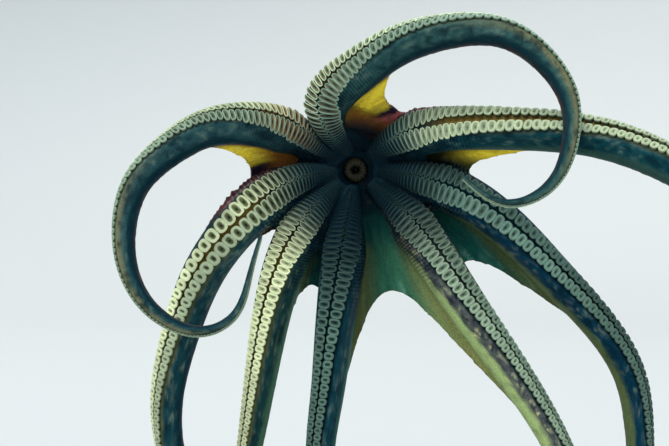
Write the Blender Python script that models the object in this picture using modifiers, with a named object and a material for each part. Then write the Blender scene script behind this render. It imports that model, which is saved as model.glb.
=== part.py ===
"""A life-size display model of a swimming octopus, seen mouth first, on a plain stand.

The animal hangs with its mouth towards -Y and its mantle towards +Y. Its eight arms leave the
mouth like the spokes of a wheel and curl back, suckers outwards, with a web between their roots.
Metres, +Z up. The origin is the middle of the stand's underside.
"""

import math
from collections import namedtuple

import bmesh
import bpy
import numpy as np
from mathutils import Matrix, Vector

MM = 0.001
GAP = 0.0003  # clearance between pieces that meet

# ---- driving dimensions, in metres ----
MOUTH = np.array((0.013, -0.050, 0.360))  # middle of the mouth
TO_VIEWER = np.array((0.0, -1.0, 0.0))  # the way the mouth faces
DORSAL_TURN = math.radians(22)  # the back leans this far from upright, towards -X

ARM_START = 0.002  # arms begin this far along their own lines
ARM_ORAL = 0.92  # height of an arm from its line to its suckers' rims, in half widths
ARM_ABORAL = 1.04  # and from its line to its back
ARM_TIP = 0.0011
# Half the width that each arm tapers from, and how it tapers: 1 is a straight cone.
ARM_GIRTHS = {
    "r1": (0.0158, 1.32),
    "l1": (0.0156, 1.12),
    "l2": (0.0144, 1.05),
    "l3": (0.0158, 1.20),
    "l4": (0.0160, 1.30),
    "r4": (0.0165, 1.50),
    "r3": (0.0165, 1.50),
    "r2": (0.0168, 1.12),
}
ROOT_SHARE = 0.485  # of the distance to the next arm, that half an arm may fill
ARM_RINGS = (10, 8, 8)  # in each of an arm's three lengths
ARM_SIDES = 10
ARM_SPLITS = (0.30, 0.62)  # where the lengths of an arm part, as shares of the arm

WEB_THICKNESS = 0.0022
WEB_START = 0.015
WEB_COLUMNS = 8
WEB_ROWS = 4

BODY_SIDES = 16
EYE_RADIUS = 0.0078
EYE_BACK = 0.036  # the eyes' distance behind the mouth
EYE_ANGLE = math.radians(38)  # above the side of the head

BASE_RADIUS = 0.165
BASE_THICKNESS = 0.012
ROD_RADIUS = 0.004
ROD_LEAN = 0.130  # sideways for each metre down, which keeps the rods behind one arm
ROD_BACKS = {"head": 0.042, "mantle": 0.122}  # distances behind the mouth

# Each arm's line, as points in millimetres from the mouth: right, back and up. Arms are numbered
# from the back of the animal (1) to its belly (4), on its right (r) and its left (l).
ARM_LINES = {
    "r1": [
        (-8, 4, 4), (-24, -2, 13), (-43, -10, 23), (-63, -21, 26), (-87, -33, 22), (-108, -43, 8),
        (-123, -51, -10), (-128, -59, -33), (-125, -65, -56), (-115, -68, -75), (-100, -69, -87),
        (-82, -68, -91), (-67, -66, -83), (-59, -62, -62), (-53, -57, -39),
    ],
    "l1": [
        (-4, 2, 11), (-15, -12, 26), (-16, -21, 41), (-3, -25, 54), (22, -34, 69), (52, -48, 75),
        (79, -60, 71), (100, -70, 53), (110, -77, 32), (109, -82, 8), (97, -84, -15),
        (77, -82, -23), (53, -76, -8),
    ],
    "l2": [
        (8, 3, 8), (27, -8, 18), (50, -18, 23), (83, -34, 22), (113, -52, 18), (136, -68, 11),
        (158, -82, -1), (184, -92, -22), (201, -96, -52), (207, -92, -92), (207, -84, -132),
        (214, -74, -168), (234, -64, -190), (258, -58, -188), (267, -56, -168), (256, -56, -156),
    ],
    "l3": [
        (10, 3, 0), (37, -4, -5), (55, -6, -11), (89, -6, -32), (119, -4, -61), (148, -2, -92),
        (169, -2, -126), (175, -4, -170), (176, -8, -206), (184, -6, -242), (206, 0, -270),
        (238, 8, -278), (265, 14, -262), (271, 18, -234), (254, 22, -216), (240, 24, -228),
    ],
    "l4": [
        (8, 3, -8), (25, -4, -23), (54, -10, -62), (81, -12, -102), (107, -14, -141),
        (126, -14, -176), (139, -10, -213), (142, -2, -250), (131, 10, -284), (105, 18, -301),
        (78, 22, -291), (68, 22, -266), (82, 20, -250),
    ],
    "r4": [
        (-1, 3, -10), (-4, -3, -26), (-9, -6, -62), (-14, -6, -102), (-18, -8, -137),
        (-22, -12, -168), (-21, -20, -202), (-13, -32, -236), (4, -44, -266), (32, -54, -280),
        (60, -60, -269), (70, -62, -244), (58, -62, -225), (42, -60, -232),
    ],
    "r3": [
        (-8, 3, -8), (-24, -4, -24), (-43, -4, -57), (-56, 2, -108), (-67, 12, -174),
        (-73, 18, -212), (-73, 20, -250), (-60, 16, -284), (-34, 6, -301), (-7, -4, -293),
        (3, -8, -268), (-8, -8, -249),
    ],
    "r2": [
        (-11, 3, -1), (-35, -5, -6), (-66, -8, -28), (-93, -4, -62), (-111, 4, -107),
        (-119, 8, -148), (-117, 8, -173), (-107, 6, -210), (-103, 2, -246), (-114, -4, -278),
        (-138, -8, -292), (-164, -8, -282), (-172, -4, -258), (-161, 2, -243),
    ],
}

# How far the suckers turn from facing the viewer, in degrees at four even places along each arm:
# positive is towards the arm's right, looking along it.
ARM_ROLLS = {
    "r1": (15, 55, 78, 70),
    "l1": (-10, -52, -75, -70),
    "l2": (-5, -38, -65, -60),
    "l3": (0, -34, -55, -60),
    "l4": (0, -30, -48, -50),
    "r4": (0, 24, 38, 40),
    "r3": (0, 26, 42, 40),
    "r2": (8, 36, 68, 60),
}
ROLL_PLACES = (0.03, 0.28, 0.55, 1.0)

# The web between each arm and the next, going round clockwise as the viewer sees it: how far it
# reaches along the first arm, midway between them and along the second, in metres, and how
# sharply its free edge sweeps up along each of the two.
WEBS = {
    ("r1", "l1"): (0.042, 0.034, 0.042, 4, 4),
    ("l1", "l2"): (0.092, 0.052, 0.078, 5, 5),
    ("l2", "l3"): (0.128, 0.065, 0.075, 5, 5),
    ("l3", "l4"): (0.195, 0.080, 0.090, 3.4, 5),
    ("l4", "r4"): (0.195, 0.073, 0.150, 6, 6.5),
    ("r4", "r3"): (0.130, 0.068, 0.125, 6, 5),
    ("r3", "r2"): (0.075, 0.052, 0.130, 5, 4.5),
    ("r2", "r1"): (0.100, 0.060, 0.108, 4.5, 5),
}
WEB_SAG = 0.006  # backwards, midway between arms
WEB_ROOT_BACKS = (0.88, 0.55)  # shares of an arm's height behind its line where the web roots
WEB_ROOT_FADE = (0.022, 0.060)  # it goes from the first to the second between these distances
WEB_ROOT_OUT = 0.35  # the share of an arm's half width, to the side, where the web roots

# The body from front to back, in metres behind the mouth: half width across, half height from
# back to belly, and lift of the middle.
HEAD = [
    (0.0060, 0.0160, 0.0160, 0.000),
    (0.0085, 0.0270, 0.0265, 0.000),
    (0.012, 0.0310, 0.0300, 0.000),
    (0.017, 0.0308, 0.0290, 0.000),
    (0.024, 0.0288, 0.0262, 0.001),
    (0.032, 0.0274, 0.0246, 0.002),
    (0.041, 0.0266, 0.0240, 0.003),
    (0.051, 0.0250, 0.0228, 0.004),
    (0.060, 0.0238, 0.0216, 0.005),
    (0.068, 0.0240, 0.0216, 0.006),
]
MANTLE = [
    (0.0683, 0.0262, 0.0236, 0.006),
    (0.078, 0.0330, 0.0295, 0.007),
    (0.092, 0.0385, 0.0345, 0.009),
    (0.108, 0.0412, 0.0370, 0.011),
    (0.124, 0.0402, 0.0364, 0.013),
    (0.140, 0.0352, 0.0322, 0.015),
    (0.153, 0.0276, 0.0255, 0.016),
    (0.163, 0.0180, 0.0168, 0.017),
    (0.169, 0.0085, 0.0080, 0.0172),
]

SKIN_BROWN = (0.20, 0.075, 0.055)
ARM_SLATE = (0.10, 0.16, 0.16)
WEB_OLIVE = (0.32, 0.30, 0.09)
LIP_BUFF = (0.30, 0.24, 0.17)
HORN_BLACK = (0.03, 0.02, 0.015)
EYE_GOLD = (0.45, 0.33, 0.12)
STAND_GREY = (0.05, 0.05, 0.055)

Arm = namedtuple("Arm", "line oral side width height_oral height_aboral length")


# ---- scene and small helpers ----


def clear_scene():
    for obj in list(bpy.data.objects):
        bpy.data.objects.remove(obj)


def new_collection(name):
    collection = bpy.data.collections.new(name)
    bpy.context.scene.collection.children.link(collection)
    return collection


def material(name, colour, roughness, metallic=0.0):
    made = bpy.data.materials.new(name)
    made.use_nodes = True
    shader = made.node_tree.nodes["Principled BSDF"]
    shader.inputs["Base Color"].default_value = (*colour, 1.0)
    shader.inputs["Roughness"].default_value = roughness
    shader.inputs["Metallic"].default_value = metallic
    return made


def link(obj, collection, look=None):
    for holder in list(obj.users_collection):
        holder.objects.unlink(obj)
    collection.objects.link(obj)
    if look is not None:
        obj.data.materials.append(look)
    return obj


def as_cutter(obj):
    obj.hide_render = True
    obj.display_type = "WIRE"
    return obj


def cut(obj, cutter):
    modifier = obj.modifiers.new("cut_" + cutter.name, "BOOLEAN")
    modifier.operation = "DIFFERENCE"
    modifier.solver = "EXACT"
    modifier.object = cutter


def join(obj, other):
    modifier = obj.modifiers.new("join_" + other.name, "BOOLEAN")
    modifier.operation = "UNION"
    modifier.solver = "EXACT"
    modifier.object = other


def keep_main_body(obj):
    """Bake an object's cuts and drop any crumbs that they left apart from its main body."""
    shape = obj.evaluated_get(bpy.context.evaluated_depsgraph_get())
    data = bpy.data.meshes.new_from_object(shape)
    obj.modifiers.clear()
    obj.data = data
    mesh = bmesh.new()
    mesh.from_mesh(data)
    unseen = set(mesh.verts)
    bodies = []
    while unseen:
        body, edge_of_body = set(), [unseen.pop()]
        while edge_of_body:
            vertex = edge_of_body.pop()
            body.add(vertex)
            for edge in vertex.link_edges:
                other = edge.other_vert(vertex)
                if other in unseen:
                    unseen.remove(other)
                    edge_of_body.append(other)
        bodies.append(body)
    bodies.sort(key=len)
    crumbs = [vertex for body in bodies[:-1] for vertex in body]
    bmesh.ops.delete(mesh, geom=crumbs, context="VERTS")
    mesh.to_mesh(data)
    mesh.free()


def unit(vectors):
    return vectors / np.linalg.norm(vectors, axis=-1, keepdims=True)


def loft(name, rings):
    """A closed mesh through rings of points, with a flat cap on each end."""
    mesh = bmesh.new()
    loops = [[mesh.verts.new(point) for point in ring] for ring in rings]
    sides = len(loops[0])
    for near, far in zip(loops, loops[1:]):
        for k in range(sides):
            n = (k + 1) % sides
            mesh.faces.new((near[k], near[n], far[n]))
            mesh.faces.new((near[k], far[n], far[k]))
    mesh.faces.new(loops[0][::-1])
    mesh.faces.new(loops[-1])
    bmesh.ops.recalc_face_normals(mesh, faces=mesh.faces)
    data = bpy.data.meshes.new(name)
    mesh.to_mesh(data)
    mesh.free()
    data.shade_smooth()
    data.set_sharp_from_angle(angle=math.radians(50))
    return bpy.data.objects.new(name, data)


# ---- the arms ----


def smooth_line(points, count=400):
    """Evenly spaced points along a natural cubic spline, and its length."""
    knots = np.asarray(points, float)
    chord = np.concatenate([[0], np.cumsum(np.linalg.norm(np.diff(knots, axis=0), axis=1))])
    step = np.diff(chord)
    last = len(knots) - 1
    system = np.eye(last + 1)
    right = np.zeros_like(knots)
    for i in range(1, last):
        system[i, i - 1 : i + 2] = step[i - 1], 2 * (step[i - 1] + step[i]), step[i]
        right[i] = 6 * (
            (knots[i + 1] - knots[i]) / step[i] - (knots[i] - knots[i - 1]) / step[i - 1]
        )
    bend = np.linalg.solve(system, right)
    u = np.linspace(0, chord[-1], 4 * count)
    k = np.clip(np.searchsorted(chord, u, side="right") - 1, 0, last - 1)
    h = step[k][:, None]
    a = (chord[k + 1] - u)[:, None] / h
    b = 1 - a
    line = a * knots[k] + b * knots[k + 1]
    line += ((a**3 - a) * bend[k] + (b**3 - b) * bend[k + 1]) * h**2 / 6
    arc = np.concatenate([[0], np.cumsum(np.linalg.norm(np.diff(line, axis=0), axis=1))])
    even = np.linspace(0, arc[-1], count)
    return np.column_stack([np.interp(even, arc, line[:, i]) for i in range(3)]), arc[-1]


def ease(x):
    x = np.clip(x, 0, 1)
    return x * x * (3 - 2 * x)


def arm_frames(line, rolls):
    """The oral and sideways directions along an arm's line."""
    tangent = unit(np.gradient(line, axis=0))
    facing = unit(TO_VIEWER - (tangent @ TO_VIEWER)[:, None] * tangent)
    right = np.cross(tangent, facing)
    share = np.linspace(0, 1, len(line))
    roll = np.radians(np.interp(share, ROLL_PLACES, rolls))
    window = np.hanning(61)
    padded = np.pad(roll, 30, mode="edge")
    roll = np.convolve(padded, window / window.sum(), mode="valid")[:, None]
    oral = np.cos(roll) * facing + np.sin(roll) * right
    return oral, np.cross(oral, tangent)


def make_arms():
    lines = {name: smooth_line(points) for name, points in ARM_LINES.items()}
    arms = {}
    for name, (line, length) in lines.items():
        share = np.linspace(0, 1, len(line))
        girth, power = ARM_GIRTHS[name]
        full = girth * (1 - share) ** power
        others = np.vstack([other for key, (other, _) in lines.items() if key != name])
        room = np.array([np.linalg.norm(others - point, axis=1).min() for point in line]) * MM
        tip = ARM_TIP * ease(2 * share)
        near = ease(room / (2 * girth))
        arms[name] = Arm(
            line=MOUTH + line * MM,
            oral=arm_frames(line, ARM_ROLLS[name])[0],
            side=arm_frames(line, ARM_ROLLS[name])[1],
            width=np.minimum(full, ROOT_SHARE * room) + tip,
            height_oral=ARM_ORAL * full * (0.55 + 0.45 * near) + tip,
            height_aboral=ARM_ABORAL * full * (0.6 + 0.4 * near) + tip,
            length=length * MM,
        )
    return arms


def at(values, share):
    """A value along an arm at a share of its length."""
    place = np.clip(share, 0, 1) * (len(values) - 1)
    low = int(min(place, len(values) - 2))
    return values[low] + (values[low + 1] - values[low]) * (place - low)


def arm_ring(arm, share, sides=ARM_SIDES, grow=0.0):
    """One section of an arm: squarish, with a groove along the middle of the sucker face."""
    width = at(arm.width, share) + grow
    oral = at(arm.height_oral, share) + grow
    aboral = at(arm.height_aboral, share) + grow
    angle = math.pi / 2 + np.arange(sides) * 2 * math.pi / sides
    c, s = np.cos(angle), np.sin(angle)
    square = (np.abs(c) ** 2.6 + np.abs(s) ** 2.6) ** (-1 / 2.6)
    across = width * c * square
    up = np.where(s > 0, oral, aboral) * s * square
    up[0] -= 0.10 * oral
    centre = at(arm.line, share)
    return centre + np.outer(across, at(arm.side, share)) + np.outer(up, at(arm.oral, share))


def arm_shares(arm, first, last, count):
    """Ring places, closer together towards the tip."""
    start = ARM_START / arm.length
    spread = 1 - (1 - np.linspace(0, 1, 200)) ** 1.25
    shares = start + (1 - start) * spread
    low, high = np.interp((first, last), shares, np.linspace(0, 1, 200))
    return np.interp(np.linspace(low, high, count), np.linspace(0, 1, 200), shares)


def build_arms(arms, collection, look):
    """Each arm as three lengths, parted by thin flat gaps."""
    made = {}
    for name, arm in arms.items():
        half_gap = GAP / 2 / arm.length
        start = ARM_START / arm.length
        cuts = [start, *ARM_SPLITS, 1.0]
        for part, low, high, count in zip(("base", "middle", "tip"), cuts, cuts[1:], ARM_RINGS):
            first = low + half_gap * (part != "base")
            last = high - half_gap * (part != "tip")
            rings = [arm_ring(arm, share) for share in arm_shares(arm, first, last, count)]
            obj = loft(f"arm_{name}_{part}", rings)
            made[name, part] = link(obj, collection, look)
    return made


def arm_cutters(arms, collection):
    """The arms' nearer lengths, grown by the gap, which part the head and the webs from them."""
    cutters = {}
    for name, arm in arms.items():
        start = (ARM_START - GAP) / arm.length
        base = arm_shares(arm, ARM_START / arm.length, ARM_SPLITS[0], ARM_RINGS[0])
        middle = arm_shares(arm, ARM_SPLITS[0], ARM_SPLITS[1], ARM_RINGS[1])
        shares = [start, *base, *middle[1:]]
        rings = [arm_ring(arm, share, grow=GAP) for share in shares]
        cutters[name] = as_cutter(link(loft(f"cut_arm_{name}", rings), collection))
    return cutters


# ---- the web ----


def web_surface(first, second, reach):
    """A grid of points over the middle of one web, rows running out from the mouth."""
    along_first, midway, along_second, arch_first, arch_second = reach
    grid = []
    for j in range(WEB_COLUMNS + 1):
        v = j / WEB_COLUMNS
        edge = midway + (along_first - midway) * (1 - v) ** arch_first
        edge += (along_second - midway) * v**arch_second
        column = []
        for i in range(WEB_ROWS + 1):
            distance = WEB_START + (edge - WEB_START) * i / WEB_ROWS
            root_back = np.interp(distance, WEB_ROOT_FADE, WEB_ROOT_BACKS)
            ends = []
            for arm, turn in ((first, -1), (second, 1)):
                share = distance / arm.length
                back = -root_back * at(arm.height_aboral, share) * at(arm.oral, share)
                out = turn * WEB_ROOT_OUT * at(arm.width, share) * at(arm.side, share)
                ends.append(at(arm.line, share) + back + out)
            point = (1 - v) * ends[0] + v * ends[1]
            sag = WEB_SAG * 4 * v * (1 - v) * min(1.0, distance / 0.05)
            column.append(point - TO_VIEWER * sag)
        grid.append(column)
    return np.array(grid)


def web_sheet(name, grid):
    """The web as an open surface, thickened evenly on both sides."""
    mesh = bmesh.new()
    points = [[mesh.verts.new(point) for point in column] for column in grid]
    for left, right in zip(points, points[1:]):
        for i in range(len(left) - 1):
            mesh.faces.new((left[i], right[i], right[i + 1], left[i + 1]))
    data = bpy.data.meshes.new(name)
    mesh.to_mesh(data)
    mesh.free()
    obj = bpy.data.objects.new(name, data)
    thicken = obj.modifiers.new("thickness", "SOLIDIFY")
    thicken.thickness = WEB_THICKNESS
    thicken.offset = 0.0
    return obj


def build_webs(arms, collection, look):
    webs = {}
    for (one, two), reach in WEBS.items():
        grid = web_surface(arms[one], arms[two], reach)
        webs[one, two] = link(web_sheet(f"web_{one}_{two}", grid), collection, look)
    return webs


# ---- the body ----


def body_axes():
    """Directions in the body's own cross-section: towards its left side and towards its back."""
    left = np.array((math.cos(DORSAL_TURN), 0, math.sin(DORSAL_TURN)))
    back = np.array((-math.sin(DORSAL_TURN), 0, math.cos(DORSAL_TURN)))
    return left, back


def body_ring(station, grow=0.0):
    behind, half_width, half_height, lift = station
    left, back = body_axes()
    angle = np.arange(BODY_SIDES) * 2 * math.pi / BODY_SIDES
    centre = MOUTH - TO_VIEWER * behind + np.array((0, 0, lift))
    across = (half_width + grow) * np.cos(angle)
    up = (half_height + grow) * np.sin(angle)
    return centre + np.outer(across, left) + np.outer(up, back)


def eye_place(side, depth=0.0):
    """The middle of an eye: side is 1 for the animal's left and -1 for its right."""
    left, back = body_axes()
    out = side * math.cos(EYE_ANGLE) * left + math.sin(EYE_ANGLE) * back
    radius = 0.0245 - depth
    return MOUTH - TO_VIEWER * EYE_BACK + np.array((0, 0, 0.0025)) + out * radius, out


def ball(name, centre, radius, segments=14, rings=8):
    bpy.ops.mesh.primitive_uv_sphere_add(
        segments=segments, ring_count=rings, radius=radius, location=centre
    )
    obj = bpy.context.object
    obj.name = name
    obj.data.shade_smooth()
    return obj


def cone_between(name, start, end, radius_start, radius_end, sides=20):
    start, end = Vector(start), Vector(end)
    bpy.ops.mesh.primitive_cone_add(
        vertices=sides, radius1=radius_start, radius2=radius_end, depth=(end - start).length
    )
    obj = bpy.context.object
    obj.name = name
    turn = (end - start).to_track_quat("Z", "Y").to_matrix().to_4x4()
    obj.matrix_world = Matrix.Translation((start + end) / 2) @ turn
    obj.data.shade_smooth()
    obj.data.set_sharp_from_angle(angle=math.radians(40))
    return obj


def build_eyes(collection, helpers, look):
    cutters, mounds = [], []
    for side, name in ((1, "left"), (-1, "right")):
        centre, _ = eye_place(side)
        link(ball(f"eye_{name}", centre, EYE_RADIUS), collection, look)
        cutters.append(as_cutter(link(ball(f"cut_eye_{name}", centre, EYE_RADIUS + GAP), helpers)))
        mound_centre, _ = eye_place(side, depth=0.0035)
        mound = ball(f"mound_{name}", mound_centre, EYE_RADIUS + 0.0032, 10, 6)
        mounds.append(as_cutter(link(mound, helpers)))
    return cutters, mounds


def siphon_line():
    """The funnel's root under the mantle's edge and its open end, by the belly side of the head."""
    left, back = body_axes()
    middle = MOUTH + np.array((0, 0, 0.004))
    root = middle - TO_VIEWER * 0.064 - back * 0.0215 + left * 0.003
    end = middle - TO_VIEWER * 0.036 - back * 0.0335 + left * 0.012
    return root, end


def build_siphon(collection, helpers, look):
    root, end = siphon_line()
    along = unit(end - root)
    siphon = link(cone_between("siphon", root, end, 0.0078, 0.0050, 16), collection, look)
    bore = cone_between("cut_siphon_bore", end - along * 0.010, end + along * 0.002, 0.0034, 0.0036, 12)
    cut(siphon, as_cutter(link(bore, helpers)))
    grown = cone_between("cut_siphon", root - along * 0.001, end + along * 0.001, 0.0081, 0.0053, 16)
    return siphon, as_cutter(link(grown, helpers))


def build_mouth(collection, looks):
    """The puckered lip round the mouth, and the beak that shows in it."""
    bpy.ops.mesh.primitive_torus_add(
        major_segments=16,
        minor_segments=6,
        major_radius=0.0058,
        minor_radius=0.0026,
        location=MOUTH + np.array((0, 0.0030, 0)),
        rotation=(math.pi / 2, 0, 0),
    )
    lips = bpy.context.object
    lips.name = "mouth_lips"
    lips.data.shade_smooth()
    link(lips, collection, looks["lips"])
    start = MOUTH - TO_VIEWER * 0.0056
    beak = cone_between("beak", start, MOUTH - TO_VIEWER * 0.0012, 0.0027, 0.0008, 12)
    link(beak, collection, looks["beak"])


def build_body(collection, helpers, looks, cutters):
    head = link(loft("head", [body_ring(station) for station in HEAD]), collection, looks["skin"])
    mantle = link(loft("mantle", [body_ring(s) for s in MANTLE]), collection, looks["skin"])
    eye_cutters, mounds = build_eyes(collection, helpers, looks["eye"])
    siphon, siphon_cutter = build_siphon(collection, helpers, looks["skin"])
    for mound in mounds:
        join(head, mound)
    for cutter in (*cutters.values(), *eye_cutters, siphon_cutter):
        cut(head, cutter)
    keep_main_body(head)
    cut(mantle, siphon_cutter)
    grown_head = [body_ring(station, GAP) for station in HEAD]
    head_cutter = as_cutter(link(loft("cut_head", grown_head), helpers))
    grown_mantle = [body_ring(station, GAP) for station in MANTLE]
    mantle_cutter = as_cutter(link(loft("cut_mantle", grown_mantle), helpers))
    return {"head": head_cutter, "mantle": mantle_cutter}


# ---- the stand ----


def rod_point(behind, belly, height):
    """A point at one height on the line of a rod, which meets the belly under the body's middle."""
    return np.array((MOUTH[0] - ROD_LEAN * (belly - height), MOUTH[1] + behind, height))


def build_stand(collection, helpers, look, body_cutters):
    """A flat round base, and two rods with padded saddles under the head and the mantle."""
    bpy.ops.mesh.primitive_cylinder_add(
        vertices=36, radius=BASE_RADIUS, depth=BASE_THICKNESS, location=(0, 0, BASE_THICKNESS / 2)
    )
    base = bpy.context.object
    base.name = "stand_base"
    bevel = base.modifiers.new("edge", "BEVEL")
    bevel.width = 0.0025
    bevel.segments = 1
    bevel.limit_method = "ANGLE"
    link(base, collection, look)
    for place, behind in ROD_BACKS.items():
        stations = HEAD if place == "head" else MANTLE
        behinds = [row[0] for row in stations]
        half_height = np.interp(behind, behinds, [row[2] for row in stations])
        lift = np.interp(behind, behinds, [row[3] for row in stations])
        belly = MOUTH[2] + lift - half_height
        saddle_low = belly - 0.009
        collar_top = BASE_THICKNESS + GAP + 0.008
        slack = GAP + ROD_RADIUS * ROD_LEAN
        parts = (
            ("collar", BASE_THICKNESS + GAP, collar_top, 0.0085, 0.0070, 0.0),
            ("rod", collar_top + slack, saddle_low - slack, ROD_RADIUS, ROD_RADIUS, ROD_LEAN),
            ("saddle", saddle_low, belly + 0.010, 0.0062, 0.0125, 0.0),
        )
        for part, low, high, radius_low, radius_high, lean in parts:
            foot, head = rod_point(behind, belly, low), rod_point(behind, belly, high)
            if not lean:
                middle = rod_point(behind, belly, collar_top if part == "collar" else saddle_low)
                foot[0] = head[0] = middle[0]
            name = f"stand_{part}_{place}"
            obj = cone_between(name, foot, head, radius_low, radius_high, 16)
            link(obj, collection, look)
            if part == "saddle":
                cut(obj, body_cutters[place])


def main():
    clear_scene()
    octopus = new_collection("octopus")
    helpers = new_collection("cutters")
    looks = {
        "skin": material("skin", SKIN_BROWN, 0.45),
        "arm": material("arm", ARM_SLATE, 0.45),
        "web": material("web", WEB_OLIVE, 0.5),
        "lips": material("lips", LIP_BUFF, 0.4),
        "beak": material("beak", HORN_BLACK, 0.3),
        "eye": material("eye", EYE_GOLD, 0.15),
        "stand": material("stand", STAND_GREY, 0.4),
    }
    arms = make_arms()
    lengths = build_arms(arms, octopus, looks["arm"])
    cutters = arm_cutters(arms, helpers)
    cut(lengths["l1", "base"], cutters["r1"])
    body_cutters = build_body(octopus, helpers, looks, cutters)
    for (one, two), web in build_webs(arms, octopus, looks["web"]).items():
        cut(web, cutters[one])
        cut(web, cutters[two])
        cut(web, body_cutters["head"])
        keep_main_body(web)
    build_mouth(octopus, looks)
    build_stand(octopus, helpers, looks["stand"], body_cutters)


main()
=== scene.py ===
"""The looks of the octopus display model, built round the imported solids.

One skin stands for all the flesh. It is made from the same lines and sizes as the solids, at a
finer grain. The suckers, eyes, lips, beak and stand are pieces of their own. Metres, +Z up.
"""

import math
from collections import namedtuple
from contextlib import contextmanager

import bmesh
import bpy
import numpy as np
from mathutils import Matrix, Vector, kdtree, noise
from mathutils.bvhtree import BVHTree


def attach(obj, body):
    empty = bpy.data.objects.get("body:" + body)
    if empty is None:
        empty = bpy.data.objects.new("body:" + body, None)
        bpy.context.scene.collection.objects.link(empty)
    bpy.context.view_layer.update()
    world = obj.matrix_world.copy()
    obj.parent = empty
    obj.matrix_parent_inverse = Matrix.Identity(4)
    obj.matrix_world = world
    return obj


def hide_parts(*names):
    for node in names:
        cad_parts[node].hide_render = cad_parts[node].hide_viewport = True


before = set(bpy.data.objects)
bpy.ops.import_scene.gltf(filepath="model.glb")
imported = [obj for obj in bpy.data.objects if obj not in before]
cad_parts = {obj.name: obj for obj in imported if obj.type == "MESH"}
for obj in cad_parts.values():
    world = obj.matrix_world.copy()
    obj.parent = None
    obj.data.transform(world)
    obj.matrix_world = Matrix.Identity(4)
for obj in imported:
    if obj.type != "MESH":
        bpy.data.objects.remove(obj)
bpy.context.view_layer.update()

MM = 0.001
SEED = 20
UP = np.array((0.0, 0.0, 1.0))

# ---- sizes that the solids have too, in metres ----
MOUTH = np.array((0.013, -0.050, 0.360))
TO_VIEWER = np.array((0.0, -1.0, 0.0))
DORSAL_TURN = math.radians(22)
# The body is rolled about its own line: its own left, and the way its back points.
BODY_LEFT = np.array((math.cos(DORSAL_TURN), 0, math.sin(DORSAL_TURN)))
BODY_BACK = np.array((-math.sin(DORSAL_TURN), 0, math.cos(DORSAL_TURN)))
ARM_START = 0.002
ARM_ORAL = 0.92
ARM_ABORAL = 1.04
ARM_TIP = 0.0011
# Each arm's half width at its root, and how fast it narrows: 1 would be evenly, more is sooner.
ARM_GIRTHS = {
    "r1": (0.0158, 1.32),
    "l1": (0.0156, 1.12),
    "l2": (0.0144, 1.05),
    "l3": (0.0158, 1.20),
    "l4": (0.0160, 1.30),
    "r4": (0.0165, 1.50),
    "r3": (0.0165, 1.50),
    "r2": (0.0168, 1.12),
}
ROOT_SHARE = 0.485
WEB_THICKNESS = 0.0022
WEB_START = 0.015
WEB_SAG = 0.006
WEB_ROOT_BACKS = (0.88, 0.55)
WEB_ROOT_FADE = (0.022, 0.060)
WEB_ROOT_OUT = 0.35
EYE_RADIUS = 0.0078
EYE_BACK = 0.036
EYE_ANGLE = math.radians(38)
EYE_LIFT = 0.0025
EYE_OUT = 0.0245
BASE_RADIUS = 0.165
BASE_THICKNESS = 0.012
ROD_RADIUS = 0.004
ROD_LEAN = 0.130
ROD_BACKS = {"head": 0.042, "mantle": 0.122}

# Each arm's line, as points in millimetres from the mouth: right, back and up.
ARM_LINES = {
    "r1": [
        (-8, 4, 4), (-24, -2, 13), (-43, -10, 23), (-63, -21, 26), (-87, -33, 22), (-108, -43, 8),
        (-123, -51, -10), (-128, -59, -33), (-125, -65, -56), (-115, -68, -75), (-100, -69, -87),
        (-82, -68, -91), (-67, -66, -83), (-59, -62, -62), (-53, -57, -39),
    ],
    "l1": [
        (-4, 2, 11), (-15, -12, 26), (-16, -21, 41), (-3, -25, 54), (22, -34, 69), (52, -48, 75),
        (79, -60, 71), (100, -70, 53), (110, -77, 32), (109, -82, 8), (97, -84, -15),
        (77, -82, -23), (53, -76, -8),
    ],
    "l2": [
        (8, 3, 8), (27, -8, 18), (50, -18, 23), (83, -34, 22), (113, -52, 18), (136, -68, 11),
        (158, -82, -1), (184, -92, -22), (201, -96, -52), (207, -92, -92), (207, -84, -132),
        (214, -74, -168), (234, -64, -190), (258, -58, -188), (267, -56, -168), (256, -56, -156),
    ],
    "l3": [
        (10, 3, 0), (37, -4, -5), (55, -6, -11), (89, -6, -32), (119, -4, -61), (148, -2, -92),
        (169, -2, -126), (175, -4, -170), (176, -8, -206), (184, -6, -242), (206, 0, -270),
        (238, 8, -278), (265, 14, -262), (271, 18, -234), (254, 22, -216), (240, 24, -228),
    ],
    "l4": [
        (8, 3, -8), (25, -4, -23), (54, -10, -62), (81, -12, -102), (107, -14, -141),
        (126, -14, -176), (139, -10, -213), (142, -2, -250), (131, 10, -284), (105, 18, -301),
        (78, 22, -291), (68, 22, -266), (82, 20, -250),
    ],
    "r4": [
        (-1, 3, -10), (-4, -3, -26), (-9, -6, -62), (-14, -6, -102), (-18, -8, -137),
        (-22, -12, -168), (-21, -20, -202), (-13, -32, -236), (4, -44, -266), (32, -54, -280),
        (60, -60, -269), (70, -62, -244), (58, -62, -225), (42, -60, -232),
    ],
    "r3": [
        (-8, 3, -8), (-24, -4, -24), (-43, -4, -57), (-56, 2, -108), (-67, 12, -174),
        (-73, 18, -212), (-73, 20, -250), (-60, 16, -284), (-34, 6, -301), (-7, -4, -293),
        (3, -8, -268), (-8, -8, -249),
    ],
    "r2": [
        (-11, 3, -1), (-35, -5, -6), (-66, -8, -28), (-93, -4, -62), (-111, 4, -107),
        (-119, 8, -148), (-117, 8, -173), (-107, 6, -210), (-103, 2, -246), (-114, -4, -278),
        (-138, -8, -292), (-164, -8, -282), (-172, -4, -258), (-161, 2, -243),
    ],
}
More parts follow.
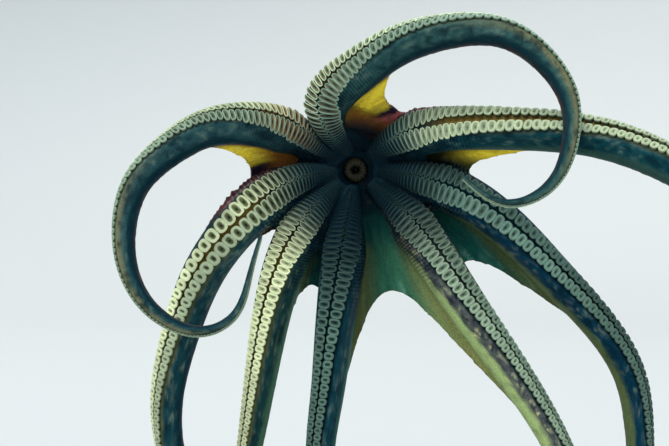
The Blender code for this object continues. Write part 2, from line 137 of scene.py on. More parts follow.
# How far each arm's sucker face is turned round its line, in degrees, at shares of its length.
ARM_ROLLS = {
    "r1": (15, 39, 55, 78, 70),
    "l1": (-10, -35, -52, -75, -70),
    "l2": (-5, -25, -38, -65, -60),
    "l3": (2, -11, -26, -55, -60),
    "l4": (0, -20, -40, -60, -60),
    "r4": (0, 18, 32, 42, 44),
    "r3": (4, 24, 38, 57, 58),
    "r2": (-3, 4, 24, 66, 60),
}
ROLL_PLACES = (0.03, 0.18, 0.28, 0.55, 1.0)
# How far out each web reaches along its first arm, midway and along its second arm, and how
# sharply its edge curves in from each.
WEBS = {
    ("r1", "l1"): (0.042, 0.034, 0.042, 4, 4),
    ("l1", "l2"): (0.092, 0.052, 0.078, 5, 5),
    ("l2", "l3"): (0.128, 0.065, 0.075, 5, 5),
    ("l3", "l4"): (0.195, 0.080, 0.090, 3.4, 5),
    ("l4", "r4"): (0.195, 0.073, 0.150, 6, 6.5),
    ("r4", "r3"): (0.130, 0.068, 0.125, 6, 5),
    ("r3", "r2"): (0.075, 0.052, 0.130, 5, 4.5),
    ("r2", "r1"): (0.100, 0.060, 0.108, 4.5, 5),
}
# Sections of the body: how far behind the mouth, half width, half height, and lift.
HEAD = [
    (0.0060, 0.0160, 0.0160, 0.000),
    (0.0085, 0.0270, 0.0265, 0.000),
    (0.012, 0.0310, 0.0300, 0.000),
    (0.017, 0.0308, 0.0290, 0.000),
    (0.024, 0.0288, 0.0262, 0.001),
    (0.032, 0.0274, 0.0246, 0.002),
    (0.041, 0.0266, 0.0240, 0.003),
    (0.051, 0.0250, 0.0228, 0.004),
    (0.060, 0.0238, 0.0216, 0.005),
    (0.068, 0.0240, 0.0216, 0.006),
]
MANTLE = [
    (0.0683, 0.0262, 0.0236, 0.006),
    (0.078, 0.0330, 0.0295, 0.007),
    (0.092, 0.0385, 0.0345, 0.009),
    (0.108, 0.0412, 0.0370, 0.011),
    (0.124, 0.0402, 0.0364, 0.013),
    (0.140, 0.0352, 0.0322, 0.015),
    (0.153, 0.0276, 0.0255, 0.016),
    (0.163, 0.0180, 0.0168, 0.017),
    (0.169, 0.0085, 0.0080, 0.0172),
]

# ---- sizes of the finish ----
FILLET = 1.3 * MM  # the flesh is made this much too fat and drawn in again, which rounds its creases
VOXEL = 1.05 * MM
SKIN_TRIANGLES = 172000
SUCKER_RISE = 0.22  # a sucker's height, in half widths of its arm
ROOT_RISE = 0.11  # the same at the arm's root, where the suckers are low ridges
FACE_POWER = 2.6  # how square an arm's section is: 2 would be round
ARM_STEP = 1.6 * MM
ARM_SIDES = 32
SIPHON_ROOT = 0.0076  # the funnel's half width where it leaves the body
SIPHON_NARROWS = 0.0022
SIPHON_BORE = 0.0033
# Soft rings that fill the creases behind the arms' roots and round the lips: how far behind the
# mouth they lie, their half width and half their thickness.
FILLERS = {"neck": (0.0125, 0.0295, 0.0045), "mouth": (0.0082, 0.0100, 0.0040)}
WART_GAP = 5.2 * MM  # how far apart the warts of the body are
WEB_NEAR = 0.0035  # skin closer than this to a web's middle can belong to the web
EYE_NEAR = 0.0125  # the skin within this of an eye's middle is shaped as its lids

Arm = namedtuple("Arm", "line oral side width height_oral height_aboral length")


# ---- small helpers ----


def unit(vectors):
    return vectors / np.linalg.norm(vectors, axis=-1, keepdims=True)


def ease(x):
    x = np.clip(x, 0, 1)
    return x * x * (3 - 2 * x)


def between(x, low, high):
    """0 below low and 1 above high, easing from one to the other."""
    return ease((np.asarray(x, float) - low) / (high - low))


def bell(x, middle, width):
    """1 at the middle, falling away evenly on both sides."""
    return np.exp(-(((x - middle) / width) ** 2))


def around(sides):
    """The angles of a ring's corners."""
    return np.arange(sides) * 2 * math.pi / sides


def lengths(vectors):
    return np.linalg.norm(vectors, axis=1)


def dots(one, two):
    """The dot product of each row with its fellow."""
    return np.einsum("ij,ij->i", one, two)


def srgb(*levels):
    """A colour as light levels, from display levels of 0 to 255."""
    shown = np.array(levels, float) / 255
    return np.where(shown <= 0.04045, shown / 12.92, ((shown + 0.055) / 1.055) ** 2.4)


def sample(values, share):
    """A value along an arm at shares of its length."""
    place = np.clip(share, 0, 1) * (len(values) - 1)
    low = np.minimum(place.astype(int), len(values) - 2)
    part = place - low
    if values.ndim == 2:
        part = part[:, None]
    return values[low] + (values[low + 1] - values[low]) * part


def mesh_object(name, points, loops, counts):
    """An object from arrays: places, each face's corners one after the other, and their counts."""
    data = bpy.data.meshes.new(name)
    data.vertices.add(len(points))
    data.vertices.foreach_set("co", np.asarray(points, np.float32).ravel())
    data.loops.add(len(loops))
    data.loops.foreach_set("vertex_index", np.asarray(loops, np.int32))
    data.polygons.add(len(counts))
    starts = np.concatenate([[0], np.cumsum(counts)[:-1]])
    data.polygons.foreach_set("loop_start", starts.astype(np.int32))
    data.update(calc_edges=True)
    data.validate()
    data.shade_smooth()
    obj = bpy.data.objects.new(name, data)
    bpy.context.scene.collection.objects.link(obj)
    return obj


def vectors_of(values, field):
    found = np.empty(len(values) * 3, np.float32)
    values.foreach_get(field, found)
    return found.reshape(-1, 3).astype(float)


def points_of(data):
    return vectors_of(data.vertices, "co")


def normals_of(data):
    return vectors_of(data.vertex_normals, "vector")


def set_points(data, points):
    data.vertices.foreach_set("co", np.asarray(points, np.float32).ravel())
    data.update()


def paint(data, name, colours):
    """A colour for each vertex, which the piece's material reads by name."""
    layer = data.attributes.new(name, "FLOAT_COLOR", "POINT")
    four = np.column_stack([colours, np.ones(len(colours))])
    layer.data.foreach_set("color", four.astype(np.float32).ravel())


def weigh(data, name, values):
    """A number for each vertex, which the piece's material reads by name."""
    layer = data.attributes.new(name, "FLOAT", "POINT")
    layer.data.foreach_set("value", np.asarray(values, np.float32))


@contextmanager
def edited(data):
    """The mesh opened for changes, which are written back to it at the end."""
    mesh = bmesh.new()
    mesh.from_mesh(data)
    yield mesh
    mesh.to_mesh(data)
    mesh.free()


def tube_faces(count, sides):
    """The corners of a tube's faces, ring by ring and capped at both ends, and their counts."""
    index = np.arange(count * sides).reshape(count, sides)
    turned = np.roll(index, -1, axis=1)
    quads = np.stack([index[:-1], turned[:-1], turned[1:], index[1:]], axis=-1).reshape(-1, 4)
    loops = np.concatenate([quads.ravel(), index[0][::-1], index[-1]])
    return loops, np.concatenate([np.full(len(quads), 4), [sides, sides]])


def loft(name, rings):
    """A closed tube through rings of points."""
    rings = np.asarray(rings)
    obj = mesh_object(name, rings.reshape(-1, 3), *tube_faces(*rings.shape[:2]))
    with edited(obj.data) as mesh:
        bmesh.ops.recalc_face_normals(mesh, faces=mesh.faces)
    return obj


def baked(obj):
    """The object with its modifiers applied."""
    shape = obj.evaluated_get(bpy.context.evaluated_depsgraph_get())
    data = bpy.data.meshes.new_from_object(shape)
    obj.modifiers.clear()
    old = obj.data
    obj.data = data
    bpy.data.meshes.remove(old)
    return obj


# ---- the arms' lines, as in the solids ----


def run_along(points):
    """The distance run at each point of a line."""
    return np.concatenate([[0], np.cumsum(lengths(np.diff(points, axis=0)))])


def smooth_line(points, count=400):
    """Evenly spaced points along a natural cubic spline, and its length."""
    knots = np.asarray(points, float)
    chord = run_along(knots)
    step = np.diff(chord)
    last = len(knots) - 1
    system = np.eye(last + 1)
    right = np.zeros_like(knots)
    for i in range(1, last):
        system[i, i - 1 : i + 2] = step[i - 1], 2 * (step[i - 1] + step[i]), step[i]
        after, before = knots[i + 1] - knots[i], knots[i] - knots[i - 1]
        right[i] = 6 * (after / step[i] - before / step[i - 1])
    bend = np.linalg.solve(system, right)
    u = np.linspace(0, chord[-1], 4 * count)
    k = np.clip(np.searchsorted(chord, u, side="right") - 1, 0, last - 1)
    h = step[k][:, None]
    a = (chord[k + 1] - u)[:, None] / h
    b = 1 - a
    line = a * knots[k] + b * knots[k + 1]
    line += ((a**3 - a) * bend[k] + (b**3 - b) * bend[k + 1]) * h**2 / 6
    arc = run_along(line)
    even = np.linspace(0, arc[-1], count)
    even_line = [np.interp(even, arc, column) for column in line.T]
    return np.column_stack(even_line), arc[-1]


def arm_frames(line, rolls):
    """The oral and sideways directions along an arm's line."""
    tangent = unit(np.gradient(line, axis=0))
    facing = unit(TO_VIEWER - (tangent @ TO_VIEWER)[:, None] * tangent)
    right = np.cross(tangent, facing)
    share = np.linspace(0, 1, len(line))
    roll = np.radians(np.interp(share, ROLL_PLACES, rolls))
    window = np.hanning(61)
    padded = np.pad(roll, 30, mode="edge")
    roll = np.convolve(padded, window / window.sum(), mode="valid")[:, None]
    oral = np.cos(roll) * facing + np.sin(roll) * right
    return oral, np.cross(oral, tangent)


def make_arms():
    """Each arm's line, facing and sizes at evenly spaced places, worked out as for the solids."""
    lines = {name: smooth_line(points) for name, points in ARM_LINES.items()}
    arms = {}
    for name, (line, length) in lines.items():
        share = np.linspace(0, 1, len(line))
        girth, power = ARM_GIRTHS[name]
        full = girth * (1 - share) ** power
        others = np.vstack([other for key, (other, _) in lines.items() if key != name])
        room = np.array([lengths(others - point).min() for point in line]) * MM
        tip = ARM_TIP * ease(2 * share)
        near = ease(room / (2 * girth))
        oral, side = arm_frames(line, ARM_ROLLS[name])
        arms[name] = Arm(
            line=MOUTH + line * MM,
            oral=oral,
            side=side,
            width=np.minimum(full, ROOT_SHARE * room) + tip,
            height_oral=ARM_ORAL * full * (0.55 + 0.45 * near) + tip,
            height_aboral=ARM_ABORAL * full * (0.6 + 0.4 * near) + tip,
            length=length * MM,
        )
    return arms


def sucker_rise(arm, share):
    """The height of the suckers at shares of an arm."""
    tall = ROOT_RISE + (SUCKER_RISE - ROOT_RISE) * between(share * arm.length, 0.02, 0.09)
    return tall * sample(arm.width, share)


# ---- the flesh ----


def arm_rings(arm, grow):
    """Sections of the flesh of an arm, which leave room for the suckers on its oral face."""
    start = ARM_START / arm.length
    share = np.linspace(start, 1.0, int(arm.length / ARM_STEP))
    width = sample(arm.width, share)[:, None]
    oral = sample(arm.height_oral, share)[:, None] - sucker_rise(arm, share)[:, None]
    aboral = sample(arm.height_aboral, share)[:, None]
    angle = math.pi / 2 + around(ARM_SIDES)
    c, s = np.cos(angle)[None, :], np.sin(angle)[None, :]
    square = (np.abs(c) ** FACE_POWER + np.abs(s) ** FACE_POWER) ** (-1 / FACE_POWER)
    turn = np.degrees(np.arctan2(np.abs(c), s))  # 0 in the middle of the sucker face, 180 behind
    bulge = 1 - 0.07 * bell(turn, 76, 13) - 0.015 * bell(turn, 140, 12)
    across = (width + grow) * c * square * bulge
    up = np.where(s > 0, oral + grow, aboral + grow) * s * square * bulge
    up = up - 0.13 * width * bell(turn, 0, 13)
    centre = sample(arm.line, share)[:, None, :]
    side = sample(arm.side, share)[:, None, :]
    return centre + across[..., None] * side + up[..., None] * sample(arm.oral, share)[:, None, :]


def web_grid(first, second, reach, columns=44, rows=30):
    """Points over the middle of one web: across from one arm to the next, and out from the mouth."""
    along_first, midway, along_second, arch_first, arch_second = reach
    v = np.linspace(0, 1, columns + 1)[:, None]
    out = np.linspace(0, 1, rows + 1)[None, :]
    edge = midway + (along_first - midway) * (1 - v) ** arch_first
    edge = edge + (along_second - midway) * v**arch_second
    distance = WEB_START + (edge - WEB_START) * out
    root_back = np.interp(distance, WEB_ROOT_FADE, WEB_ROOT_BACKS)
    ends = []
    for arm, turn in ((first, -1), (second, 1)):
        share = (distance / arm.length).ravel()
        back = -(root_back.ravel() * sample(arm.height_aboral, share))[:, None]
        aside = (turn * WEB_ROOT_OUT * sample(arm.width, share))[:, None]
        place = sample(arm.line, share) + back * sample(arm.oral, share)
        place = place + aside * sample(arm.side, share)
        ends.append(place.reshape(columns + 1, rows + 1, 3))
    grid = (1 - v[..., None]) * ends[0] + v[..., None] * ends[1]
    sag = WEB_SAG * 4 * v * (1 - v) * np.minimum(1.0, distance / 0.05)
    grid = grid - TO_VIEWER * sag[..., None]
    # shallow folds that run out from the mouth
    fold = np.sin(v * 34 + 2.2 * np.sin(out * 3.0 + v * 5)) + 0.5 * np.sin(v * 61 + out * 4)
    fold = fold * 0.00045 * (4 * v * (1 - v)) ** 0.7 * between(out, 0.1, 0.5)
    return grid - TO_VIEWER * fold[..., None]


def web_sheet(name, grid, grow):
    """A web as a sheet of even thickness about its middle."""
    count, rows = grid.shape[:2]
    index = np.arange(count * rows).reshape(count, rows)
    quads = np.stack([index[:-1, :-1], index[1:, :-1], index[1:, 1:], index[:-1, 1:]], axis=-1)
    quads = quads.reshape(-1, 4)
    obj = mesh_object(name, grid.reshape(-1, 3), quads.ravel(), np.full(len(quads), 4))
    thicken = obj.modifiers.new("thickness", "SOLIDIFY")
    thicken.thickness = WEB_THICKNESS + 2 * grow
    thicken.offset = 0.0
    return baked(obj)


def body_size(behind, stations=HEAD + MANTLE):
    """The half width, half height and lift of the body at places behind the mouth."""
    table = np.array(stations)
    return (np.interp(behind, table[:, 0], table[:, i]) for i in (1, 2, 3))


def body_rings(stations, sides, step, grow, last=None):
    """Smooth sections of the head or mantle through its stations."""
    table = np.array(stations)
    behind = np.arange(table[0, 0], (last or table[-1, 0]) + step / 2, step)
    inner = np.clip(behind, table[0, 0], table[-1, 0])
    width, height, lift = body_size(inner, smooth_line(table / MM, 800)[0] * MM)
    angle = around(sides)
    across = (width + grow)[:, None] * np.cos(angle)
    up = (height + grow)[:, None] * np.sin(angle)
    centre = MOUTH - behind[:, None] * TO_VIEWER + lift[:, None] * UP
    return centre[:, None, :] + across[..., None] * BODY_LEFT + up[..., None] * BODY_BACK


def eye_place(side, depth=0.0):
    """The middle of an eye, drawn in by a depth, and the way it looks."""
    out = side * math.cos(EYE_ANGLE) * BODY_LEFT + math.sin(EYE_ANGLE) * BODY_BACK
    return MOUTH - TO_VIEWER * EYE_BACK + EYE_LIFT * UP + out * (EYE_OUT - depth), out


def siphon_line():
    """The siphon's root in the body and the middle of its lip."""
    middle = MOUTH + 0.004 * UP
    root = middle - TO_VIEWER * 0.064 - BODY_BACK * 0.0215 + BODY_LEFT * 0.003
    end = middle - TO_VIEWER * 0.036 - BODY_BACK * 0.0335 + BODY_LEFT * 0.012
    return root, end


def siphon_rings(grow, sides=28):
    """The funnel from its root out to its lip and back down its bore."""
    root, end = siphon_line()
    along = unit(end - root)
    across = unit(np.cross(along, UP))
    other = np.cross(along, across)
    reach = np.linalg.norm(end - root)
    bends = np.linspace(0.15, 1.4, 7)
    profile = [(-math.cos(a) * SIPHON_ROOT, (SIPHON_ROOT + grow) * math.sin(a)) for a in bends]
    profile += [(t * reach, SIPHON_ROOT - SIPHON_NARROWS * t + grow) for t in np.linspace(0, 1, 14)]
    for ahead, radius, wider in ((0.7, 0.0050, 0.5), (1.0, 0.0043, 0.0), (0.7, 0.0036, -0.5)):
        profile.append((reach + ahead * grow, radius + wider * grow))
    profile += [(reach - t * 0.010, SIPHON_BORE - grow) for t in np.linspace(0.0, 1, 9)]
    angle = around(sides)
    ring = np.cos(angle)[:, None] * across + np.sin(angle)[:, None] * other
    return [root + along * place + ring * radius for place, radius in profile]


def flesh_ring(behind, reach, thick, steps=64, sides=20):
    """A soft ring round the body's line, which fills a crease between the arms' roots."""
    roll = around(sides)[:, None]
    rings = []
    for turn in np.arange(steps + 1) * 2 * math.pi / steps:
        outward = reach * (math.cos(turn) * BODY_LEFT + math.sin(turn) * BODY_BACK)
        section = np.cos(roll) * unit(outward) - np.sin(roll) * TO_VIEWER
        rings.append(MOUTH - behind * TO_VIEWER + outward + thick * section)
    return rings


def ball(name, centre, radius, segments=32, rings=20):
    add = bpy.ops.mesh.primitive_uv_sphere_add
    add(segments=segments, ring_count=rings, radius=radius, location=centre)
    obj = bpy.context.object
    obj.name = name
    obj.data.transform(Matrix.Translation(obj.location))
    obj.location = (0, 0, 0)
    return obj


def joined(name, pieces):
    bpy.ops.object.select_all(action="DESELECT")
    for piece in pieces:
        piece.select_set(True)
    bpy.context.view_layer.objects.active = pieces[0]
    bpy.ops.object.join()
    pieces[0].name = name
    return pieces[0]


def relax(points, edges, rounds, share=0.5, back=-0.52):
    """Evens out a surface without shrinking it: each round smooths, then puffs it out again."""
    count = len(points)
    a, b = edges.T
    degree = np.bincount(a, minlength=count) + np.bincount(b, minlength=count)
    degree = np.maximum(degree, 1)[:, None]

    def gathered(values):
        return np.bincount(a, values[b], count) + np.bincount(b, values[a], count)

    for _ in range(rounds):
        for amount in (share, back):
            total = np.column_stack([gathered(points[:, i]) for i in range(3)])
            points = points + amount * (total / degree - points)
    return points


def edges_of(data):
    found = np.empty(len(data.edges) * 2, np.int32)
    data.edges.foreach_get("vertices", found)
    return found.reshape(-1, 2)


def build_flesh(arms, grids):
    """All the flesh as one smooth closed surface."""
    parts = [loft(f"flesh_{name}", arm_rings(arm, FILLET)) for name, arm in arms.items()]
    for (one, two), grid in grids.items():
        parts.append(web_sheet(f"flesh_{one}_{two}", grid, FILLET))
    parts.append(loft("flesh_head", body_rings(HEAD, 72, 0.0015, FILLET, last=0.078)))
    parts.append(loft("flesh_mantle", body_rings(MANTLE, 88, 0.0018, FILLET)))
    parts.append(loft("flesh_siphon", siphon_rings(FILLET)))
    for name, (behind, reach, thick) in FILLERS.items():
        parts.append(loft(f"flesh_{name}", flesh_ring(behind, reach, thick + FILLET)))
    for side in (1, -1):
        centre, _ = eye_place(side, depth=0.0035)
        parts.append(ball(f"flesh_mound_{side}", centre, EYE_RADIUS + 0.0032 + FILLET))
    flesh = joined("octopus_skin", parts)
    remesh = flesh.modifiers.new("one_surface", "REMESH")
    remesh.mode = "VOXEL"
    remesh.voxel_size = VOXEL
    baked(flesh)
    edges = edges_of(flesh.data)
    set_points(flesh.data, relax(points_of(flesh.data), edges, 3))
    points = relax(points_of(flesh.data) - FILLET * normals_of(flesh.data), edges, 4)
    # the siphon's thin lip is evened out more
    near = between(-lengths(points - siphon_line()[1]), -0.0120, -0.0085)[:, None]
    for _ in range(4):
        points = points + near * (relax(points, edges, 2, 0.5, -0.42) - points)
    set_points(flesh.data, points)
    return flesh


# ---- where a point of the skin lies ----

ARM_NAMES = list(ARM_LINES)
WEB_NAMES = list(WEBS)


def search_tree(points):
    tree = kdtree.KDTree(len(points))
    for number, point in enumerate(points):
        tree.insert(point, number)
    tree.balance()
    return tree


class Places:
    """Each point's place on the nearest arm, web and body section."""

    def __init__(self, points):
        self.on_arms(points)
        self.on_webs(points)
        self.on_body(points)

    def on_arms(self, points):
        tree = search_tree(np.vstack([arm.line for arm in arms.values()]))
        found = np.array([tree.find(point)[1] for point in points])
        size = len(arms[ARM_NAMES[0]].line)
        self.arm = found // size
        self.share, self.across, self.out, up = np.zeros((4, len(points)))
        for number, arm in enumerate(arms.values()):
            here = self.arm == number
            k = found[here] % size
            offset = points[here] - arm.line[k]
            tangent = unit(np.gradient(arm.line, axis=0))[k]
            self.share[here] = np.clip(k / (size - 1) + dots(offset, tangent) / arm.length, 0, 1)
            self.across[here] = dots(offset, arm.side[k]) / arm.width[k]
            tall = dots(offset, arm.oral[k])
            up[here] = tall / np.where(tall > 0, arm.height_oral[k] * 0.78, arm.height_aboral[k])
            self.out[here] = arm.length * self.share[here]
        self.radius = np.hypot(self.across, up)
        self.turn = np.degrees(np.arctan2(np.abs(self.across), up))

    def on_webs(self, points):
        flat = [grid.reshape(-1, 3) for grid in grids.values()]
        columns, rows = next(iter(grids.values())).shape[:2]
        tree = search_tree(np.vstack(flat))
        found = [tree.find(point)[1:] for point in points]
        number = np.array([item[0] for item in found])
        self.web_gap = np.array([item[1] for item in found])
        self.web = number // (columns * rows)
        place = number % (columns * rows)
        ahead = []
        for grid in grids.values():
            normal = unit(np.cross(np.gradient(grid, axis=0), np.gradient(grid, axis=1))).reshape(-1, 3)
            ahead.append(normal * np.sign(normal.mean(axis=0) @ TO_VIEWER))
        self.web_side = dots(points - np.vstack(flat)[number], np.vstack(ahead)[number])
        self.web_across = place // rows / (columns - 1)
        self.web_out = place % rows / (rows - 1)

    def on_body(self, points):
        offset = points - MOUTH
        self.behind = offset @ -TO_VIEWER
        width, height, lift = body_size(self.behind)
        section = offset - lift[:, None] * UP
        self.body_back = section @ BODY_BACK
        ratio = np.hypot(section @ BODY_LEFT / width, self.body_back / height)
        self.body = between(self.behind, 0.010, 0.020) * (1 - between(ratio, 1.22, 1.42))


# ---- relief ----


def noise_at(points, size, seed=0.0):
    """Smooth noise from -1 to 1 with features about this big, in metres."""
    places = points / size + seed
    return np.array([noise.noise(place) for place in places])


def cells_at(points, size):
    """The distance to the nearest of scattered points about this far apart, as a share of that."""
    places = points / size
    return np.array([noise.voronoi(place)[0][0] for place in places])


def body_point(behind, angle):
    """A point on the body: the angle turns from its left side over its back."""
    width, height, lift = body_size(behind)
    centre = MOUTH - TO_VIEWER * behind + lift * UP
    across = width * math.cos(angle) * BODY_LEFT
    return centre + across + height * math.sin(angle) * BODY_BACK


def horns():
    """The few tall soft points of the skin: four on the mantle's back and two over each eye."""
    spots = [(0.098, 90, 3.2), (0.120, 112, 3.0), (0.120, 68, 3.0), (0.143, 90, 2.6)]
    spots += [(0.032, 62, 2.2), (0.044, 60, 1.6), (0.032, 118, 2.2), (0.044, 120, 1.6)]
    return [(body_point(behind, math.radians(angle)), tall * MM) for behind, angle, tall in spots]


def fringe_share(points, places, middle=68, spread=19, rough=1.0):
    """How far the ragged folds of red skin beside two arms' suckers stand out at each point."""
    share = np.zeros(len(points))
    for name, side, start, end in FRINGES:
        here = (places.arm == ARM_NAMES.index(name)) & (side * places.across > 0)
        band = bell(places.turn[here], middle, spread)
        out, spots = places.out[here], points[here]
        reach = between(out, start, start + 0.014) * (1 - between(out, end - 0.03, end))
        ragged = 0.62 + rough * (0.5 * noise_at(spots, 2.3 * MM) + 0.2 * noise_at(spots, 7 * MM))
        share[here] = band * reach * np.clip(ragged, 0, 1.2)
    return share


def add_relief(data, places):
    """Raises the folds beside the suckers, the warts and horns, and the rough backs of the arms."""
    points, normals = points_of(data), normals_of(data)
    lift = FRINGE_HEIGHT * fringe_share(points, places)
    body = places.body
    busy = body > 0.01
    picked = points[busy]
    warty = bell(cells_at(picked, WART_GAP), 0, 0.34)
    grain = noise_at(picked, 2.4 * MM)
    slow = noise_at(picked, 13 * MM, 5.0)
    belly = between(-places.body_back[busy], 0.004, 0.018)
    height = (0.85 * warty * between(slow, -0.5, 0.5) + 0.28 * grain + 0.5 * slow) * (1 - 0.65 * belly)
    lift[busy] += body[busy] * height * MM
    for centre, tall in horns():
        far = lengths(points - centre)
        lift += tall * bell(far, 0, 0.0022) + 0.35 * tall * bell(far, 0, 0.005)
    back = between(places.turn, 118, 150) * (1 - body) * (places.web_gap > WEB_NEAR)
    thick = np.interp(places.share, (0, 1), (1.0, 0.15))
    busy = back > 0.01
    rough = 0.35 * bell(cells_at(points[busy], 4.2 * MM), 0, 0.36)
    rough += 0.2 * noise_at(points[busy], 2.2 * MM)
    lift[busy] += back[busy] * thick[busy] * rough * MM
    set_points(data, points + normals * lift[:, None])


def thin_out(obj, triangles):
    obj.data.calc_loop_triangles()
    fewer = obj.modifiers.new("fewer", "DECIMATE")
    fewer.ratio = triangles / len(obj.data.loop_triangles)
    return baked(obj)


def refine(data, centre, reach, rounds):
    """Cuts the mesh finer within a reach of a point."""
    with edited(data) as mesh:
        for _ in range(rounds):
            close = [e for e in mesh.edges if all((v.co - centre).length < reach for v in e.verts)]
            bmesh.ops.subdivide_edges(mesh, edges=close, cuts=1, use_grid_fill=True)
            bmesh.ops.triangulate(mesh, faces=[f for f in mesh.faces if len(f.verts) > 3])


LID_WIDE = math.radians(50)  # half the opening between the lids, seen from the eye's middle
LID_TALL = math.radians(33)
LID_THICK = 1.0 * MM
LID_RIM = 1.12  # where the lids' rim ends and the folds begin, in half openings from the middle


def eye_axes(side):
    """The eye's middle, the way it looks, and its level and upright directions."""
    centre, out = eye_place(side)
    level = unit(np.cross(UP, out))
    return centre, out, level, np.cross(out, level)


def shape_lids(data, side):
    """Draws the skin round the eyeball: an opening, a thick rim and soft folds about it."""
    centre, out, level, upright = eye_axes(side)
    refine(data, Vector(centre), EYE_NEAR, 2)
    points = points_of(data)
    near = lengths(points - centre) < EYE_NEAR
    points[near] = relax(points, edges_of(data), 3)[near]
    offset = points - centre
    reach = lengths(offset)
    way = offset / np.maximum(reach, 1e-9)[:, None]
    wide = np.arcsin(np.clip(way @ level, -1, 1)) / LID_WIDE
    tall = np.arcsin(np.clip(way @ upright, -1, 1)) / LID_TALL
    open_ = np.hypot(wide, tall) + 3 * (way @ out < 0.1)
    inside = EYE_RADIUS + LID_THICK - 2.4 * MM * (1 - between(open_, 0.86, 1.02))
    folds = 0.35 * MM * np.cos((open_ - LID_RIM) * 9) * bell(open_, 1.3, 0.5)
    pull = bell(np.maximum(open_ - LID_RIM, 0), 0, 0.42)
    folded = reach + (EYE_RADIUS + LID_THICK - reach) * pull + folds
    wanted = np.where(open_ < LID_RIM, inside, folded)
    share = (1 - between(reach, EYE_NEAR - 2 * MM, EYE_NEAR)) * (open_ < 2.6)
    new_reach = reach + (wanted - reach) * share
    points[near] = (centre + way * new_reach[:, None])[near]
    set_points(data, points)


# ---- colours ----

UPPER = ("r1", "l1")  # the two arms that curl over above the mouth
# Painted shade: the dark blue that stands for the shade over the crown round the mouth.
CROWN_SHADE = srgb(6, 25, 36)
NAVY = srgb(5, 24, 33)
SLATE = srgb(24, 62, 70)
SLATE_PALE = srgb(98, 126, 118)
OLIVE = srgb(84, 88, 44)
OCHRE = srgb(126, 102, 38)
# Partly the webs' own colour and partly painted light: sunlight shining through the thin webs.
YELLOW = srgb(246, 216, 62)
ORANGE = srgb(176, 112, 40)
GREY_OLIVE = srgb(112, 112, 80)
MAROON = srgb(128, 64, 60)
MAROON_DARK = srgb(64, 26, 30)
PINK = srgb(206, 160, 156)
ROSE = srgb(226, 122, 116)
PLUM = srgb(42, 28, 48)
OLIVE_PALE = srgb(126, 130, 76)
GREEN = srgb(50, 104, 78)
GREEN_DARK = srgb(18, 74, 66)
TEAL = srgb(52, 100, 84)
TEAL_PALE = srgb(116, 156, 136)
BUFF = srgb(196, 168, 132)
BROWN = srgb(112, 70, 52)
CREAM = srgb(202, 196, 140)

# Each arm: how wide its rows of suckers reach and how far apart its suckers lie against the
# others, how lit its two rows are, how bright its suckers are and how that changes far out
# along it, how warm they are (these three partly painted light and shade), how pale their cups,
# the width of the groove between the rows in half widths of the arm, how far the painted shade
# round the mouth reaches, the colours of its side and of the edge behind that (the sides' dark
# teal partly painted shade), how far round from its face the edge starts, and how blotched its
# side is.
ArmLook = namedtuple(
    "ArmLook", "reach pitch rows bright far warm cup groove shade side keel keel_turn blotch"
)
ARM_LOOKS = {
    "r1": ArmLook(
        1.16, 0.70, (1.00, 0.70), 0.92, 1.00, 0.60, 0.24, 0.04, 0.056,
        srgb(37, 72, 76), srgb(6, 38, 48), 106, 0.05,
    ),
    "l1": ArmLook(
        1.10, 0.80, (0.68, 1.02), 0.98, 1.14, 0.55, 0.34, 0.02, 0.044,
        srgb(42, 78, 78), srgb(12, 42, 50), 106, 0.05,
    ),
    "l2": ArmLook(
        1.04, 1.12, (1.00, 0.86), 0.94, 0.84, 0.60, 0.80, 0.12, 0.048,
        srgb(12, 60, 68), srgb(50, 80, 72), 100, 0.05,
    ),
    "l3": ArmLook(
        0.98, 1.10, (1.04, 0.66), 0.62, 0.62, 0.06, 0.80, 0.02, 0.066,
        srgb(2, 48, 68), srgb(84, 98, 60), 92, 0.10,
    ),
    "l4": ArmLook(
        0.92, 1.05, (1.04, 0.76), 0.76, 0.86, 0.34, 0.70, 0.02, 0.078,
        srgb(78, 84, 84), srgb(164, 186, 122), 80, 1.0,
    ),
    "r4": ArmLook(
        0.92, 1.10, (0.85, 1.00), 0.44, 0.84, 0.04, 0.40, 0.02, 0.095,
        srgb(12, 56, 66), srgb(36, 80, 62), 100, 0.05,
    ),
    "r3": ArmLook(
        0.94, 1.02, (0.96, 1.00), 1.16, 0.66, 0.90, 0.78, 0.03, 0.072,
        srgb(24, 60, 60), srgb(68, 106, 80), 96, 0.12,
    ),
    "r2": ArmLook(
        0.98, 1.28, (1.04, 0.76), 1.10, 0.74, 0.85, 0.16, 0.02, 0.066,
        srgb(18, 62, 70), srgb(4, 40, 54), 104, 0.14,
    ),
}
# The ragged folds of red skin: the arm, its side, and where the fold starts and ends along it.
FRINGES = (("r2", -1, 0.028, 0.095), ("l2", 1, 0.020, 0.066))
FRINGE_HEIGHT = 3.4 * MM
